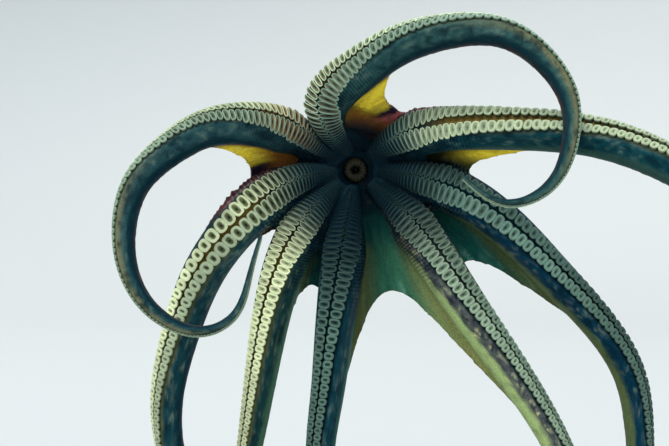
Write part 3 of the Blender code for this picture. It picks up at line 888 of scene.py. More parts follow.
# Each web from its first arm over to its second: three colours, the colour near the mouth, which
# is partly painted shade, where across the web the first colour and the middle one give way, and
# how far out the colour near the mouth reaches.
WebLook = namedtuple("WebLook", "first middle second root early late fade")
WEB_LOOKS = {
    ("r1", "l1"): WebLook(NAVY, NAVY, NAVY, NAVY, 0.3, 0.7, 0.26),
    ("l1", "l2"): WebLook(YELLOW, PLUM, ROSE, ORANGE, 0.37, 0.47, 0.30),
    ("l2", "l3"): WebLook(YELLOW, OLIVE, NAVY, OLIVE * 0.4, 0.3, 0.7, 0.50),
    ("l3", "l4"): WebLook(OLIVE, GREEN_DARK, TEAL, GREEN_DARK, 0.2, 0.7, 0.26),
    ("l4", "r4"): WebLook(OLIVE_PALE, GREEN, OLIVE, GREEN_DARK, 0.2, 0.7, 0.20),
    ("r4", "r3"): WebLook(SLATE, GREEN_DARK, OLIVE, NAVY, 0.3, 0.7, 0.26),
    ("r3", "r2"): WebLook(NAVY, PLUM, OCHRE, NAVY, 0.3, 0.7, 0.26),
    ("r2", "r1"): WebLook(MAROON, PLUM, YELLOW, ORANGE, 0.42, 0.62, 0.46),
}


def look_of(places, field):
    """One of the arm looks' values at each point, by the arm that it belongs to."""
    return np.array([getattr(ARM_LOOKS[name], field) for name in ARM_NAMES])[places.arm]


def mix(one, two, share):
    """A colour or value on the way from one to two."""
    share = np.asarray(share, float)
    share = share[:, None] if share.ndim else share
    return one + (two - one) * share


def mouth_shade(shade, out):
    """How much the painted shade round the mouth takes over, at a distance along an arm."""
    return 1 - between(out, 0.22 * shade, shade)


def body_colours(points, places):
    """The mottled back: red-brown with dark nets and pale spots, paler on the belly."""
    slow = noise_at(points, 16 * MM, 3.0)
    patch = noise_at(points, 6.5 * MM, 9.0)
    cells = cells_at(points, WART_GAP)
    colour = mix(MAROON, BROWN, between(slow, -0.5, 0.5))
    colour = mix(colour, MAROON_DARK, 0.75 * between(cells, 0.30, 0.62) * between(patch, -0.6, 0.4))
    spots = (1 - between(cells, 0.12, 0.34)) * between(patch, -0.25, 0.45)
    colour = mix(colour, BUFF, 0.75 * spots)
    belly = places.body * between(-places.body_back, 0.006, 0.024)
    return mix(colour, BUFF * 0.75, 0.45 * belly)


def arm_colours(points, places):
    """An arm from its sucker face round to its back."""
    turn, out = places.turn, places.out
    warm, side, keel = (look_of(places, field) for field in ("warm", "side", "keel"))
    fine = noise_at(points, 1.9 * MM, 2.5)
    patch = noise_at(points, 4.6 * MM, 1.5)
    wide = noise_at(points, 14 * MM, 7.5)
    blotch = look_of(places, "blotch")
    ochre = between(warm, 0.2, 0.7) * between(out, 0.034, 0.060)
    groove = mix(SLATE, OCHRE * (1 + 0.35 * fine)[:, None], ochre)
    face = mix(groove, mix(NAVY, OLIVE, between(warm, 0.3, 1.0)), between(turn, 14, 28))
    edge = mix(side, OCHRE, 0.25 + 0.55 * warm)
    upper = np.isin(places.arm, [ARM_NAMES.index(name) for name in UPPER])
    # Painted light: a pale grey-olive band where the two upper arms' edges catch the light, part way out.
    paler = upper * between(out, 0.11, 0.19) * (1 - 0.8 * between(places.share, 0.74, 0.84))
    side = mix(side, GREY_OLIVE, 0.85 * paler * (1 - between(turn, 62, 88)))
    mottle = patch + 0.8 * fine + 0.6 * wide
    side = mix(side, SLATE_PALE, 0.42 * between(mottle, 0.2, 0.9))
    side = mix(side, NAVY, 0.75 * between(-mottle, 0.0, 0.8))
    side = mix(side, CREAM, blotch * 0.85 * between(0.7 * patch + fine, 0.15, 0.75) * between(turn, 36, 52))
    side = mix(side, PLUM, 0.5 * between(blotch, 0.3, 0.8) * between(-fine - 0.4 * patch, 0.05, 0.5))
    keel = mix(keel, side, 0.45 * between(0.6 * fine - patch, 0.1, 0.8))
    line = between(out, 0.06, 0.09) * bell(turn + 4 * patch, 43, 4.0)
    line = line * between(warm, 0.2, 0.8) * between(fine + patch, -0.5, 0.4)
    colour = mix(face, side, between(turn + 4 * fine, 33, 43))
    colour = mix(colour, edge, 0.5 * line)
    shift = 6 * wide + 4 * patch - look_of(places, "keel_turn")
    colour = mix(colour, keel, between(turn + shift, -9, 9) * between(out, 0.03, 0.07))
    back = body_colours(points, places)
    # Partly painted shade: away from the body the arms' backs take the dark teal of their shaded sides.
    teal_shade = mix(NAVY, SLATE, between(patch, -0.5, 0.5))
    back = mix(back, teal_shade, between(out, 0.04, 0.12) * (0.62 + 0.3 * between(wide, -0.4, 0.4)))
    colour = mix(colour, back, between(turn + 8 * wide, 126, 150))
    fold = between(fringe_share(points, places), 0.10, 0.35)
    streak = noise_at(points, 1.8 * MM, 4.0)
    rosy = np.where(places.arm == ARM_NAMES.index("l2"), 0.85, 0.0)
    red = mix(MAROON_DARK, MAROON, between(streak, -0.7, 0.3))
    red = mix(red, ROSE, rosy * between(streak, -0.3, 0.4))
    colour = mix(colour, red, fold)
    # Painted highlight: a pink-white line along the edge between the red folds and the suckers.
    pink_highlight = fringe_share(points, places, 47, 5, 0.2)
    return mix(colour, PINK, 0.8 * between(pink_highlight, 0.25, 0.75))


def web_colours(points, places):
    """The web's face, by the pair of arms that it joins."""
    shown = np.zeros((len(points), 3))
    root = np.zeros((len(points), 3))
    streak_place = np.column_stack([places.web_across * 26, places.web_out * 2.5, places.web * 3.7])
    streak = noise_at(streak_place, 1.0)
    fine = noise_at(streak_place * (3.1, 2.0, 1.0), 1.0)
    across = places.web_across + 0.025 * streak
    for number, name in enumerate(WEB_NAMES):
        here = places.web == number
        look = WEB_LOOKS[name]
        sharp = 0.035 if look.late - look.early < 0.25 else 0.16
        first = between(across[here], look.early - sharp, look.early + sharp)
        second = between(across[here], look.late - sharp, look.late + sharp)
        shown[here] = mix(mix(look.first, look.middle, first), look.second, second)
        # Painted shade near the mouth: darkened copies of the web's colours beside each arm, with the root
        # colour between them.
        deep = mix(look.first * 0.4, look.root, between(across[here], 0.02, 0.25))
        root[here] = mix(deep, look.second * 0.4, between(across[here], 0.75, 1.0))
        faded = (places.web_out + 0.10 * fine + 0.06 * streak)[here]
        shown[here] = mix(root[here], shown[here], between(faded, look.fade, look.fade + 0.36))
    shown = shown * (1 + 0.30 * streak + 0.22 * fine)[:, None]
    pale = between(streak, 0.15, 0.6) * between(places.web_out, 0.6, 0.9) * (places.web > 2)
    shown = mix(shown, TEAL_PALE, 0.34 * pale)
    # Painted shade: close to the mouth the webs go dark blue.
    shown = mix(NAVY, shown, between(lengths(points - MOUTH), 0.018, 0.036))
    return mix(shown, NAVY, 0.55 * between(places.web_out, 0.962, 0.99))


def paint_skin(data):
    """Paints arms, webs and body on the skin, and the painted shade of the crown round the mouth over them.
    """
    points, normals = points_of(data), normals_of(data)
    places = Places(points)
    colour = arm_colours(points, places)
    facing = normals @ TO_VIEWER
    front = between(places.web_side, -0.4 * MM, 0.2 * MM) * between(facing, -0.5, -0.1)
    web = between(places.radius, 1.03, 1.22) * (places.web_gap < WEB_NEAR)
    back = body_colours(points, places)
    colour = mix(colour, mix(back, web_colours(points, places), front), web)
    neck = between(places.behind, 0.004, 0.010) * (1 - between(places.out, 0.030, 0.060))
    deep = (MOUTH - points) @ TO_VIEWER
    spread = unit(points - MOUTH + deep[:, None] * TO_VIEWER)
    crest = between((normals * spread).sum(axis=1), 0.4, 0.7) * between(deep, 0.005, 0.011)
    neck = neck * np.maximum(between(-facing, -0.15, 0.30), crest * (1 - between(facing, 0.25, 0.5)))
    neck = np.maximum(places.body, neck)
    colour = mix(colour, back, neck)
    # Painted shade round the mouth: the arms' faces near it, a little further on their sides, and the crown
    # that faces forward go dark blue.
    shade = look_of(places, "shade") + 0.022 * between(places.turn, 40, 56)
    dark = mouth_shade(shade, places.out) * (1 - np.maximum(web * (1 - front), neck))
    dark = dark * between(facing, -0.2, 0.2)
    rear = 1 - between(facing, 0.15, 0.45)
    dark = dark * (1 - between(deep, 0.007, 0.014) * rear)
    crown = (1 - between(lengths(points - MOUTH), 0.024, 0.040)) * between(-deep, -0.016, -0.006)
    crown = crown * (1 - neck) * (1 - between(deep, 0.004, 0.010) * rear)
    colour = mix(colour, CROWN_SHADE, 0.96 * np.maximum(dark * (1 - 0.6 * web), crown))
    paint(data, "paint", colour)
    ridged = between(places.turn, 34, 46) * (1 - between(places.turn, 92, 128))
    ridged = ridged * (1 - web) * (1 - places.body)
    ridged = ridged * between(places.out, 0.008, 0.016) * (1 - between(places.out, 0.045, 0.085))
    weigh(data, "ridged", ridged)
    weigh(data, "sucker_count", sucker_count(places))


# ---- suckers ----

# A sucker from its root in the skin, up its wall, over its rim and down into its cup. The first
# number counts in half widths up to the rim and the second in heights.
WALL = ((0.80, -1.20), (0.82, -0.10), (0.86, 0.34), (0.95, 0.62), (1.00, 0.82))
# Past the rim's edge, the first number counts in rim thicknesses in from the edge.
RIM = ((0.16, 0.95), (0.45, 1.00), (0.78, 0.96), (1.00, 0.82))
# In the cup, the first number counts in half widths of the cup.
CUP = ((0.86, 0.70), (0.58, 0.60), (0.34, 0.55), (0.22, 0.25))
# The paint of each ring in turn: 0 the wall, 1 the rim, 2 the cup and 3 its deepest part.
ZONES = (0.0, 0.0, 0.2, 0.6, 0.9, 1.0, 1.0, 1.0, 1.5, 2.0, 2.2, 2.5, 3.0)
# How fine a sucker is: from this half width up, its corners round and which rings it keeps.
SUCKER_GRAINS = (
    (2.6 * MM, 24, list(range(13))),
    (1.3 * MM, 16, [0, 1, 3, 4, 5, 6, 8, 9, 11, 12]),
    (0.0, 10, [0, 2, 4, 6, 8, 10, 12]),
)

# Sucker spacing along the arm as a share of a sucker's width, by distance from the mouth.
SQUEEZE_PLACES = (0.0, 0.03, 0.05, 0.06, 0.075, 0.11, 0.16, 0.25, 0.40)
SQUEEZE = (0.22, 0.28, 0.36, 0.47, 0.62, 0.74, 0.82, 0.88, 0.92)
# How far out the rows of suckers reach, in half widths of the arm, by distance from the mouth.
ROW_REACH = ((0.0, 0.03, 0.06, 0.10, 0.20, 0.45), (0.93, 0.90, 0.74, 0.66, 0.62, 0.60))


def row_sizes(name, share):
    """At shares of an arm: its rows' middles in half widths, a sucker's half width and the spacing."""
    out, look = share * arms[name].length, ARM_LOOKS[name]
    opened = between(out, 0.030, 0.060)
    inner = (0.012 + look.groove) * opened - 0.015 * (1 - between(out, 0.03, 0.05))
    wider = 1 + (look.reach - 1) * opened
    outer = wider * np.interp(out, *ROW_REACH)
    half = 0.5 * (outer - inner) * sample(arms[name].width, share)
    apart = 1 + (look.pitch - 1) * between(out, 0.035, 0.065) * (1 - between(out, 0.09, 0.14))
    return 0.5 * (outer + inner), half, 2 * half * apart * np.interp(out, SQUEEZE_PLACES, SQUEEZE)


def sucker_count(places):
    """The number of suckers passed along each arm, which the skin's own ridges keep step with."""
    count = np.zeros(len(places.arm))
    share = np.linspace(0, 1, 600)
    for number, name in enumerate(ARM_NAMES):
        here = places.arm == number
        step = arms[name].length / len(share)
        passed = np.cumsum(step / row_sizes(name, share)[2])
        count[here] = np.interp(places.share[here], share, passed)
    return count


def sucker_rows(name, chance):
    """Each sucker of an arm: its share of the arm, its side, and its half sizes."""
    arm = arms[name]
    share = np.linspace(ARM_START / arm.length, 0.995, 4000)
    lift = (sample(arm.height_oral, share) - sucker_rise(arm, share))[:, None]
    path = sample(arm.line, share) + lift * sample(arm.oral, share)
    run = run_along(path)
    _, halves, pitches = row_sizes(name, share)
    found = []
    for row in (-1, 1):
        place = 0.004 + (0.0006 if row > 0 else 0.0)
        while place < run[-1] - 0.0008:
            half = float(np.interp(place, run, halves))
            pitch = float(np.interp(place, run, pitches))
            size = chance.uniform(0.95, 1.06)
            long_share = 0.53 - 0.04 * (1 - pitch / (2 * half))
            here = float(np.interp(place, run, share))
            found.append((here, row, half * size, long_share * pitch * size, chance.uniform(-1, 1, 3)))
            place += pitch * chance.uniform(0.96, 1.04)
    return found


def face_height(across):
    """The height of an arm's face at shares of its half width, against its middle."""
    return (1 - np.clip(np.abs(across), 0, 0.985) ** FACE_POWER) ** (1 / FACE_POWER)


def corner_places(rings, sides):
    """Where the corners of a sucker's faces lie on its patch of the map, from 0 to 1."""
    column, last = np.arange(sides), rings - 1
    u, v = np.meshgrid(column, np.arange(last))
    corner_u = np.stack([u, u + 1, u + 1, u], axis=-1).reshape(-1)
    corner_v = np.stack([v, v, v + 1, v + 1], axis=-1).reshape(-1)
    corner_u = np.concatenate([corner_u, column[::-1], column])
    corner_v = np.concatenate([corner_v, np.zeros(sides), np.full(sides, last)])
    return np.column_stack([corner_u / sides, corner_v / last])


def sucker_rings(half_wide, half_long, rise, broad, keep):
    """Half sizes and heights of one sucker's rings."""
    rim = half_long * (0.24 + broad + 0.26 * half_long / half_wide)
    rings = [(out * half_wide, out * half_long, up) for out, up in WALL]
    rings += [(half_wide - inward * rim, half_long - inward * rim * 1.2, up) for inward, up in RIM]
    rings += [(out * (half_wide - rim), out * (half_long - rim * 1.2), up) for out, up in CUP]
    wide, long_, high = np.array(rings)[keep].T
    return wide, long_, high * rise


# Warm and cool sucker colours, mixed by each arm's warmth and, for the rims, by how lit the row is: partly
# painted light and shade.
RIM_WARM, RIM_COOL = srgb(220, 226, 180), srgb(124, 164, 150)
WALL_WARM, WALL_COOL = srgb(84, 84, 46), srgb(14, 58, 66)
CUP_WARM, CUP_COOL = srgb(92, 92, 40), srgb(18, 64, 68)
# Painted shade in the sucker cups' deepest parts and near the mouth.
DEEP_SHADE = srgb(16, 32, 30)
ROOT_BROWN = {"r1": 0.75, "l1": 0.2}  # how much orange brown lies between the suckers of an arm's root


def zone_light(zone):
    """1 on a sucker's rim, falling to 0 down its wall and in its cup."""
    return np.interp(zone, (0.3, 1.0, 1.2, 2.0), (0.0, 2.4, 2.4, 0.0))


def sucker_paint(name, row, out, zone, wobble):
    """The colour of each ring of a sucker, by its arm, row and distance from the mouth, with painted light
    and shade.
    """
    look = ARM_LOOKS[name]
    # Painted light and shade: each row is painted lighter or darker by how it faces the light, and far out
    # some arms' suckers are painted darker or lighter.
    lit = look.rows[row > 0]
    light = 1 + (lit - 1) * between(out, 0.02, 0.05)
    light = light * (1 + (look.far - 1) * between(out, 0.105, 0.175))
    # The rims of lit rows are painted warm and those of shaded rows, and near the mouth, cool: painted
    # light and shade.
    rim = mix(RIM_COOL, RIM_WARM, look.warm * between(lit, 0.5, 0.9) * between(out, 0.018, 0.048))
    soft = 0.85 if name in UPPER else 0.5
    pale = look.cup + soft * (1 - look.cup) * between(out, 0.09, 0.17)
    pale = np.maximum(pale, 0.55 * between(0.76 - lit, 0.0, 0.10))
    cup = mix(mix(CUP_COOL, CUP_WARM, look.warm), rim * 0.8, pale)
    # Painted shade: the cups go dark near the mouth, and their deepest part is darker.
    cup = mix(DEEP_SHADE, cup, between(out, 0.015, 0.060))
    stops = [mix(WALL_COOL, WALL_WARM, look.warm), rim, cup, mix(DEEP_SHADE, cup, 0.6 * pale)]
    brown = between(out, 0.016, 0.028) * (1 - between(out, 0.045, 0.075))
    brown = ROOT_BROWN.get(name, 0) * float(brown)
    stops[0], stops[2] = mix(stops[0], ORANGE, brown), mix(stops[2], ORANGE, 0.7 * brown)
    base = np.column_stack([np.interp(zone, range(4), levels) for levels in np.transpose(stops)])
    base = base * look.bright * light * (1 + 0.12 * wobble)
    # Painted shade round the mouth over the whole sucker.
    return mix(base, mix(CROWN_SHADE, NAVY, zone_light(zone)), 0.95 * float(mouth_shade(look.shade, out)))


def sucker_points(name, share, row, half_wide, half_long, wobble, sides, keep):
    """One sucker's rings of points, draped over the arm's face."""
    arm, here = arms[name], np.array([share])
    middle_share = row_sizes(name, here)[0][0]
    width, rise = sample(arm.width, here)[0], sucker_rise(arm, here)[0]
    lift = sample(arm.height_oral, here)[0] - rise
    middle, oral, side = (sample(values, here)[0] for values in (arm.line, arm.oral, arm.side))
    along, outward = np.cross(side, oral), row * side
    squeeze = half_long / half_wide
    drop = face_height(middle_share - 0.1) - face_height(middle_share + 0.1)
    lean = 0.6 * math.atan(drop * lift / (0.2 * width)) + math.radians(3 * wobble[0])
    up = math.cos(lean) * oral + math.sin(lean) * outward
    up = unit(up + 0.10 * squeeze * wobble[1] * along)
    sweep = math.tan(math.radians(6)) * (1 - between(squeeze, 0.3, 0.9)) + 0.10 * squeeze * wobble[2]
    broad = 0.17 * float(between(share * arm.length, 0.076, 0.120))
    wide, long_, high = sucker_rings(half_wide, half_long, rise, broad, keep)
    angle = around(sides)
    c, s = np.cos(angle), np.sin(angle)
    ripple = 1 + 0.025 * np.sin(3 * angle + 5 * wobble[1]) + 0.015 * np.sin(5 * angle + 9 * wobble[2])
    power = 3.2 - 0.5 * squeeze
    blunt = (np.abs(c) ** power + np.abs(s) ** power) ** (-1 / power) * ripple
    x, y = np.outer(wide, c * blunt), np.outer(long_, s * blunt)
    across = middle_share * width + x
    tall = (lift * face_height(across / width) - 0.02 * width)[..., None]
    place = middle + across[..., None] * outward + (y + sweep * x)[..., None] * along
    place = place + tall * oral + high[:, None, None] * up
    return place[:, ::-1] if row > 0 else place


def build_suckers(name):
    """All of one arm's suckers as one mesh, each with its own patch on the map for its colours."""
    rows = sucker_rows(name, np.random.default_rng(SEED + ARM_NAMES.index(name)))
    columns = math.ceil(math.sqrt(len(rows)))
    points, loops, counts, colours, maps = [], [], [], [], []
    made = 0
    for number, (share, row, half_wide, half_long, wobble) in enumerate(rows):
        sides, keep = next(grain[1:] for grain in SUCKER_GRAINS if half_wide > grain[0])
        place = sucker_points(name, share, row, half_wide, half_long, wobble, sides, keep)
        points.append(place.reshape(-1, 3))
        face_loops, face_counts = tube_faces(len(keep), sides)
        loops.append(face_loops + made)
        counts.append(face_counts)
        made += len(keep) * sides
        zone = np.repeat(np.array(ZONES)[keep], sides)
        colours.append(sucker_paint(name, row, share * arms[name].length, zone, wobble[0]))
        cell = np.array((number % columns, number // columns))
        maps.append((cell + 0.06 + 0.88 * corner_places(len(keep), sides)) / columns)
    obj = mesh_object(f"suckers_{name}", np.vstack(points), np.concatenate(loops), np.concatenate(counts))
    layer = obj.data.uv_layers.new(name="OFBake")
    layer.data.foreach_set("uv", np.vstack(maps).astype(np.float32).ravel())
    paint(obj.data, "paint", np.vstack(colours))
    return obj


# ---- mouth and eyes ----

LIP_MIDDLE = MOUTH - TO_VIEWER * 0.003
LIP_RADIUS = 4.6 * MM
LIP_THICK = 2.7 * MM
PLEATS = 17
LIP_BROWN, LIP_SHADE = srgb(60, 54, 38), srgb(14, 24, 26)


def build_lips():
    """The puckered ring of the mouth, with fine pleats that run into it."""
    turn, roll = np.meshgrid(around(170), around(24), indexing="ij")
    pleat = np.cos(PLEATS * turn + 1.4 * np.sin(3 * turn)) + 0.5 * np.cos(2 * PLEATS * turn + 0.7)
    inner = 0.5 - 0.5 * np.cos(roll)
    reach = LIP_THICK * (1 - 0.07 * (1 - pleat) * (0.35 + 0.65 * inner))
    uneven = 1 - 0.10 * np.sin(2 * turn + 1) - 0.05 * np.sin(5 * turn)
    radius = LIP_RADIUS + reach * np.cos(roll) * uneven
    x, z = radius * np.cos(turn), radius * np.sin(turn)
    y = -reach * 0.95 * np.sin(roll) * (1 + 0.08 * np.sin(3 * turn))
    points = LIP_MIDDLE + np.stack([x, y, z], axis=-1)
    index = np.arange(turn.size).reshape(turn.shape)
    next_turn, next_roll = np.roll(index, -1, axis=0), np.roll(index, -1, axis=1)
    both = np.roll(next_turn, -1, axis=1)
    quads = np.stack([next_roll, both, next_turn, index], axis=-1)
    counts = np.full(turn.size, 4)
    obj = mesh_object("mouth_lips_skin", points.reshape(-1, 3), quads.ravel(), counts)
    # Painted shade in the pleats' folds and on the inner roll of the lips, towards the mouth's opening.
    shade = (0.45 + 0.55 * between(pleat, -1.0, 0.8)) * (1 - 0.75 * between(inner, 0.62, 0.95))
    paint(obj.data, "paint", mix(LIP_SHADE, LIP_BROWN, shade.ravel()))
    return obj


BEAK_BLACK, BEAK_BROWN = srgb(18, 14, 12), srgb(70, 44, 26)


def build_mandible(name, side, tip, hook):
    """One half of the beak: broad in the mouth, curving in to a hooked point."""
    rings = []
    steps = np.linspace(0, 1, 18)
    angle = around(28)
    for t in steps:
        half_wide = (2.4 * (1 - t**1.7) + 0.16) * MM
        half_high = (1.15 * (1 - t**1.5) + 0.14) * MM
        behind = (5.6 - (5.6 - tip) * t) * MM
        up = side * (1.15 * (1 - t**2) - hook * t**3) * MM
        arched = np.where(side * np.sin(angle) < 0, 0.35, 1.0)  # hollow on the side that bites
        x, z = half_wide * np.cos(angle), half_high * np.sin(angle) * arched
        rings.append(MOUTH + np.column_stack([x, 0 * x, z]) + np.array((0, behind, up)))
    obj = loft(name, rings)
    shade = between(np.repeat(steps, len(angle)), 0.05, 0.5)
    paint(obj.data, "paint", mix(BEAK_BROWN, BEAK_BLACK, shade))
    return obj


EYE_GOLD, EYE_BRONZE = srgb(206, 168, 84), srgb(104, 66, 34)
PUPIL_BLACK = srgb(6, 6, 8)
PUPIL_WIDE, PUPIL_TALL = 0.40, 0.105  # half sizes of the slit, in eye radii
IRIS_REACH = math.radians(46)


def build_eye(name, side):
    """An eyeball with a domed front, a flecked gold iris and a level slit pupil."""
    centre, out, level, upright = eye_axes(side)
    polar = np.radians(np.concatenate([np.linspace(0.4, 50, 52), np.linspace(54, 176, 24)]))
    polar, turn = np.meshgrid(polar, around(96), indexing="ij")
    across, up = np.sin(polar) * np.cos(turn), np.sin(polar) * np.sin(turn)
    radius = EYE_RADIUS * (0.985 + 0.035 * bell(polar, 0, 0.6))
    way = across[..., None] * level + up[..., None] * upright + np.cos(polar)[..., None] * out
    obj = loft(name, centre + radius[..., None] * way)
    across, up, polar, turn = (values.ravel() for values in (across, up, polar, turn))
    slit_tall = PUPIL_TALL * (1 + 0.5 * np.abs(across))
    slit = np.abs(across / PUPIL_WIDE) ** 3 + np.abs(up / slit_tall) ** 3
    fleck = noise_at(np.column_stack([np.cos(turn) * 5, np.sin(turn) * 5, polar * 3]), 1.0)
    spot = noise_at(way.reshape(-1, 3), 0.07)
    iris = mix(EYE_BRONZE, EYE_GOLD, between(fleck + 0.6 * spot, -0.45, 0.5))
    iris = mix(iris, EYE_BRONZE * 0.5, between(polar, 0.78 * IRIS_REACH, IRIS_REACH))
    iris = mix(iris, PUPIL_BLACK, 0.6 * (1 - between(slit, 1.0, 2.2)))
    colour = mix(iris, MAROON_DARK * 0.6, between(polar, IRIS_REACH, 1.12 * IRIS_REACH))
    paint(obj.data, "paint", mix(PUPIL_BLACK, colour, between(slit, 0.8, 1.1)))
    return obj


# ---- the stand ----


def rod_line(place):
    """The point below the belly that a rod of the stand leans from, as a function of height."""
    behind = ROD_BACKS[place]
    _, half_height, lift = body_size(behind, HEAD if place == "head" else MANTLE)
    belly = MOUTH[2] + lift - half_height

    def at(height):
        return np.array((MOUTH[0] - ROD_LEAN * (belly - height), MOUTH[1] + behind, height))

    return belly, at


def plumb(x, y):
    """A line straight up, as a function of height."""
    return lambda height: np.array((x, y, height))


def stepped(steps, low):
    """A turned piece's radii and heights, from steps in millimetres above a height."""
    return [(radius * MM, low + height * MM) for radius, height in steps]


def turned(name, profile, middle, sides):
    """A turned piece: radii and heights from the bottom's middle to the top's, round a line."""
    angle = around(sides)
    circle = np.column_stack([np.cos(angle), np.sin(angle), np.zeros(sides)])
    return loft(name, [middle(height) + circle * max(radius, 1e-5) for radius, height in profile])


def sharpen(obj, degrees=32):
    """Keeps the edges sharper than this crisp and shades the rest smooth."""
    obj.data.shade_smooth()
    obj.data.set_sharp_from_angle(angle=math.radians(degrees))
    return obj


def build_base():
    """The round base: a small step and a cove run round its top edge."""
    top, rim = BASE_THICKNESS, BASE_RADIUS
    profile = [(0.0, 0.0), (rim - 1 * MM, 0.0), (rim, 1 * MM)]
    profile += [(rim, 6 * MM), (rim - 0.8 * MM, 6.8 * MM)]
    for angle in np.radians(np.arange(0, 91, 10)):
        inward, below = 1.6 + 4.8 * math.sin(angle), 0.4 + 4.8 * math.cos(angle)
        profile.append((rim - inward * MM, top - below * MM))
    profile += [(rim - 7.0 * MM, top), (rim * 0.5, top), (0.0, top)]
    return sharpen(turned("stand_base_turned", profile, plumb(0, 0), 180))


def build_collar(place):
    """A collar screwed to the base round the foot of a rod."""
    _, at = rod_line(place)
    low = BASE_THICKNESS + 0.15 * MM
    name = f"stand_collar_turned_{place}"
    steps = [(4.3, 0.0), (8.3, 0.0), (8.5, 0.3), (8.5, 1.6), (8.2, 2.0), (6.9, 2.3), (6.3, 3.0)]
    steps += [(6.0, 4.2), (6.0, 6.0), (6.3, 6.5), (6.5, 7.0), (6.3, 7.6), (5.7, 8.0), (4.3, 8.0)]
    screw = [(0.0, 1.6), (0.95, 1.6), (1.0, 2.3), (0.8, 2.75), (0.4, 2.8), (0.35, 2.5), (0.0, 2.5)]
    parts = [turned(name, stepped(steps, low), at, 56)]
    for angle in np.radians((30, 150, 270)):
        spot = at(low) + 7.35 * MM * np.array((math.cos(angle), math.sin(angle), 0))
        parts.append(turned("screw", stepped(screw, low), plumb(*spot[:2]), 18))
    return sharpen(joined(name, parts))


def build_rod(place):
    """A rod from its collar up to its saddle, with an eased end in the saddle's neck."""
    belly, at = rod_line(place)
    low, high = BASE_THICKNESS + 0.5 * MM, belly - 6 * MM
    eased = ROD_RADIUS - 0.4 * MM
    profile = [(0.0, low), (eased, low)]
    profile += [(ROD_RADIUS, height) for height in np.linspace(low + 0.4 * MM, high - 0.4 * MM, 12)]
    profile += [(eased, high), (0.0, high)]
    return sharpen(turned(f"stand_rod_turned_{place}", profile, at, 40))


def build_saddle(place, flesh):
    """A flared cup on a rod, whose top follows the belly that rests in it."""
    belly, at = rod_line(place)
    low = belly - 9 * MM
    steps = [(4.3, 0.0), (6.0, 0.0), (6.3, 0.4), (6.3, 1.6), (5.9, 2.1), (6.0, 3.0), (6.6, 4.6)]
    steps += [(7.7, 6.4), (9.2, 8.4), (10.8, 10.6), (12.0, 12.6), (12.4, 13.4)]
    steps += [(share * 12.2, 14) for share in (0.96, 0.88, 0.75, 0.6, 0.45, 0.3, 0.15, 0.0)]
    tree = BVHTree.FromObject(flesh, bpy.context.evaluated_depsgraph_get())
    cup = turned(f"stand_saddle_turned_{place}", stepped(steps, low), plumb(*at(low)[:2]), 64)
    for vert in cup.data.vertices:
        start = Vector((vert.co.x, vert.co.y, low - 2 * MM))
        hit = tree.ray_cast(start, Vector((0, 0, 1)), 30 * MM)[0]
        if hit and vert.co.z > hit.z - 0.25 * MM:
            vert.co.z = hit.z - 0.25 * MM
    return sharpen(cup, 50)


# ---- materials ----


def nodes_of(name):
    made = bpy.data.materials.new(name)
    made.use_nodes = True
    tree = made.node_tree
    return made, tree, tree.nodes["Principled BSDF"]


def node(tree, kind, **values):
    made = tree.nodes.new("ShaderNode" + kind)
    for key, value in values.items():
        if key in made.inputs:
            made.inputs[key].default_value = value
        else:
            setattr(made, key, value)
    return made


def ranged(tree, low, high, to_low, to_high):
    """A node that takes the span from low to high over to another span."""
    ends = ("From Min", "From Max", "To Min", "To Max")
    return node(tree, "MapRange", **dict(zip(ends, (low, high, to_low, to_high))))


def wire(tree, *links):
    for source, output, target, socket in links:
        tree.links.new(source.outputs[output], target.inputs[socket])


def set_finish(shader, **values):
    """Sets the shader's inputs, whose names have spaces for the underscores here."""
    for key, value in values.items():
        shader.inputs[key.replace("_", " ")].default_value = value


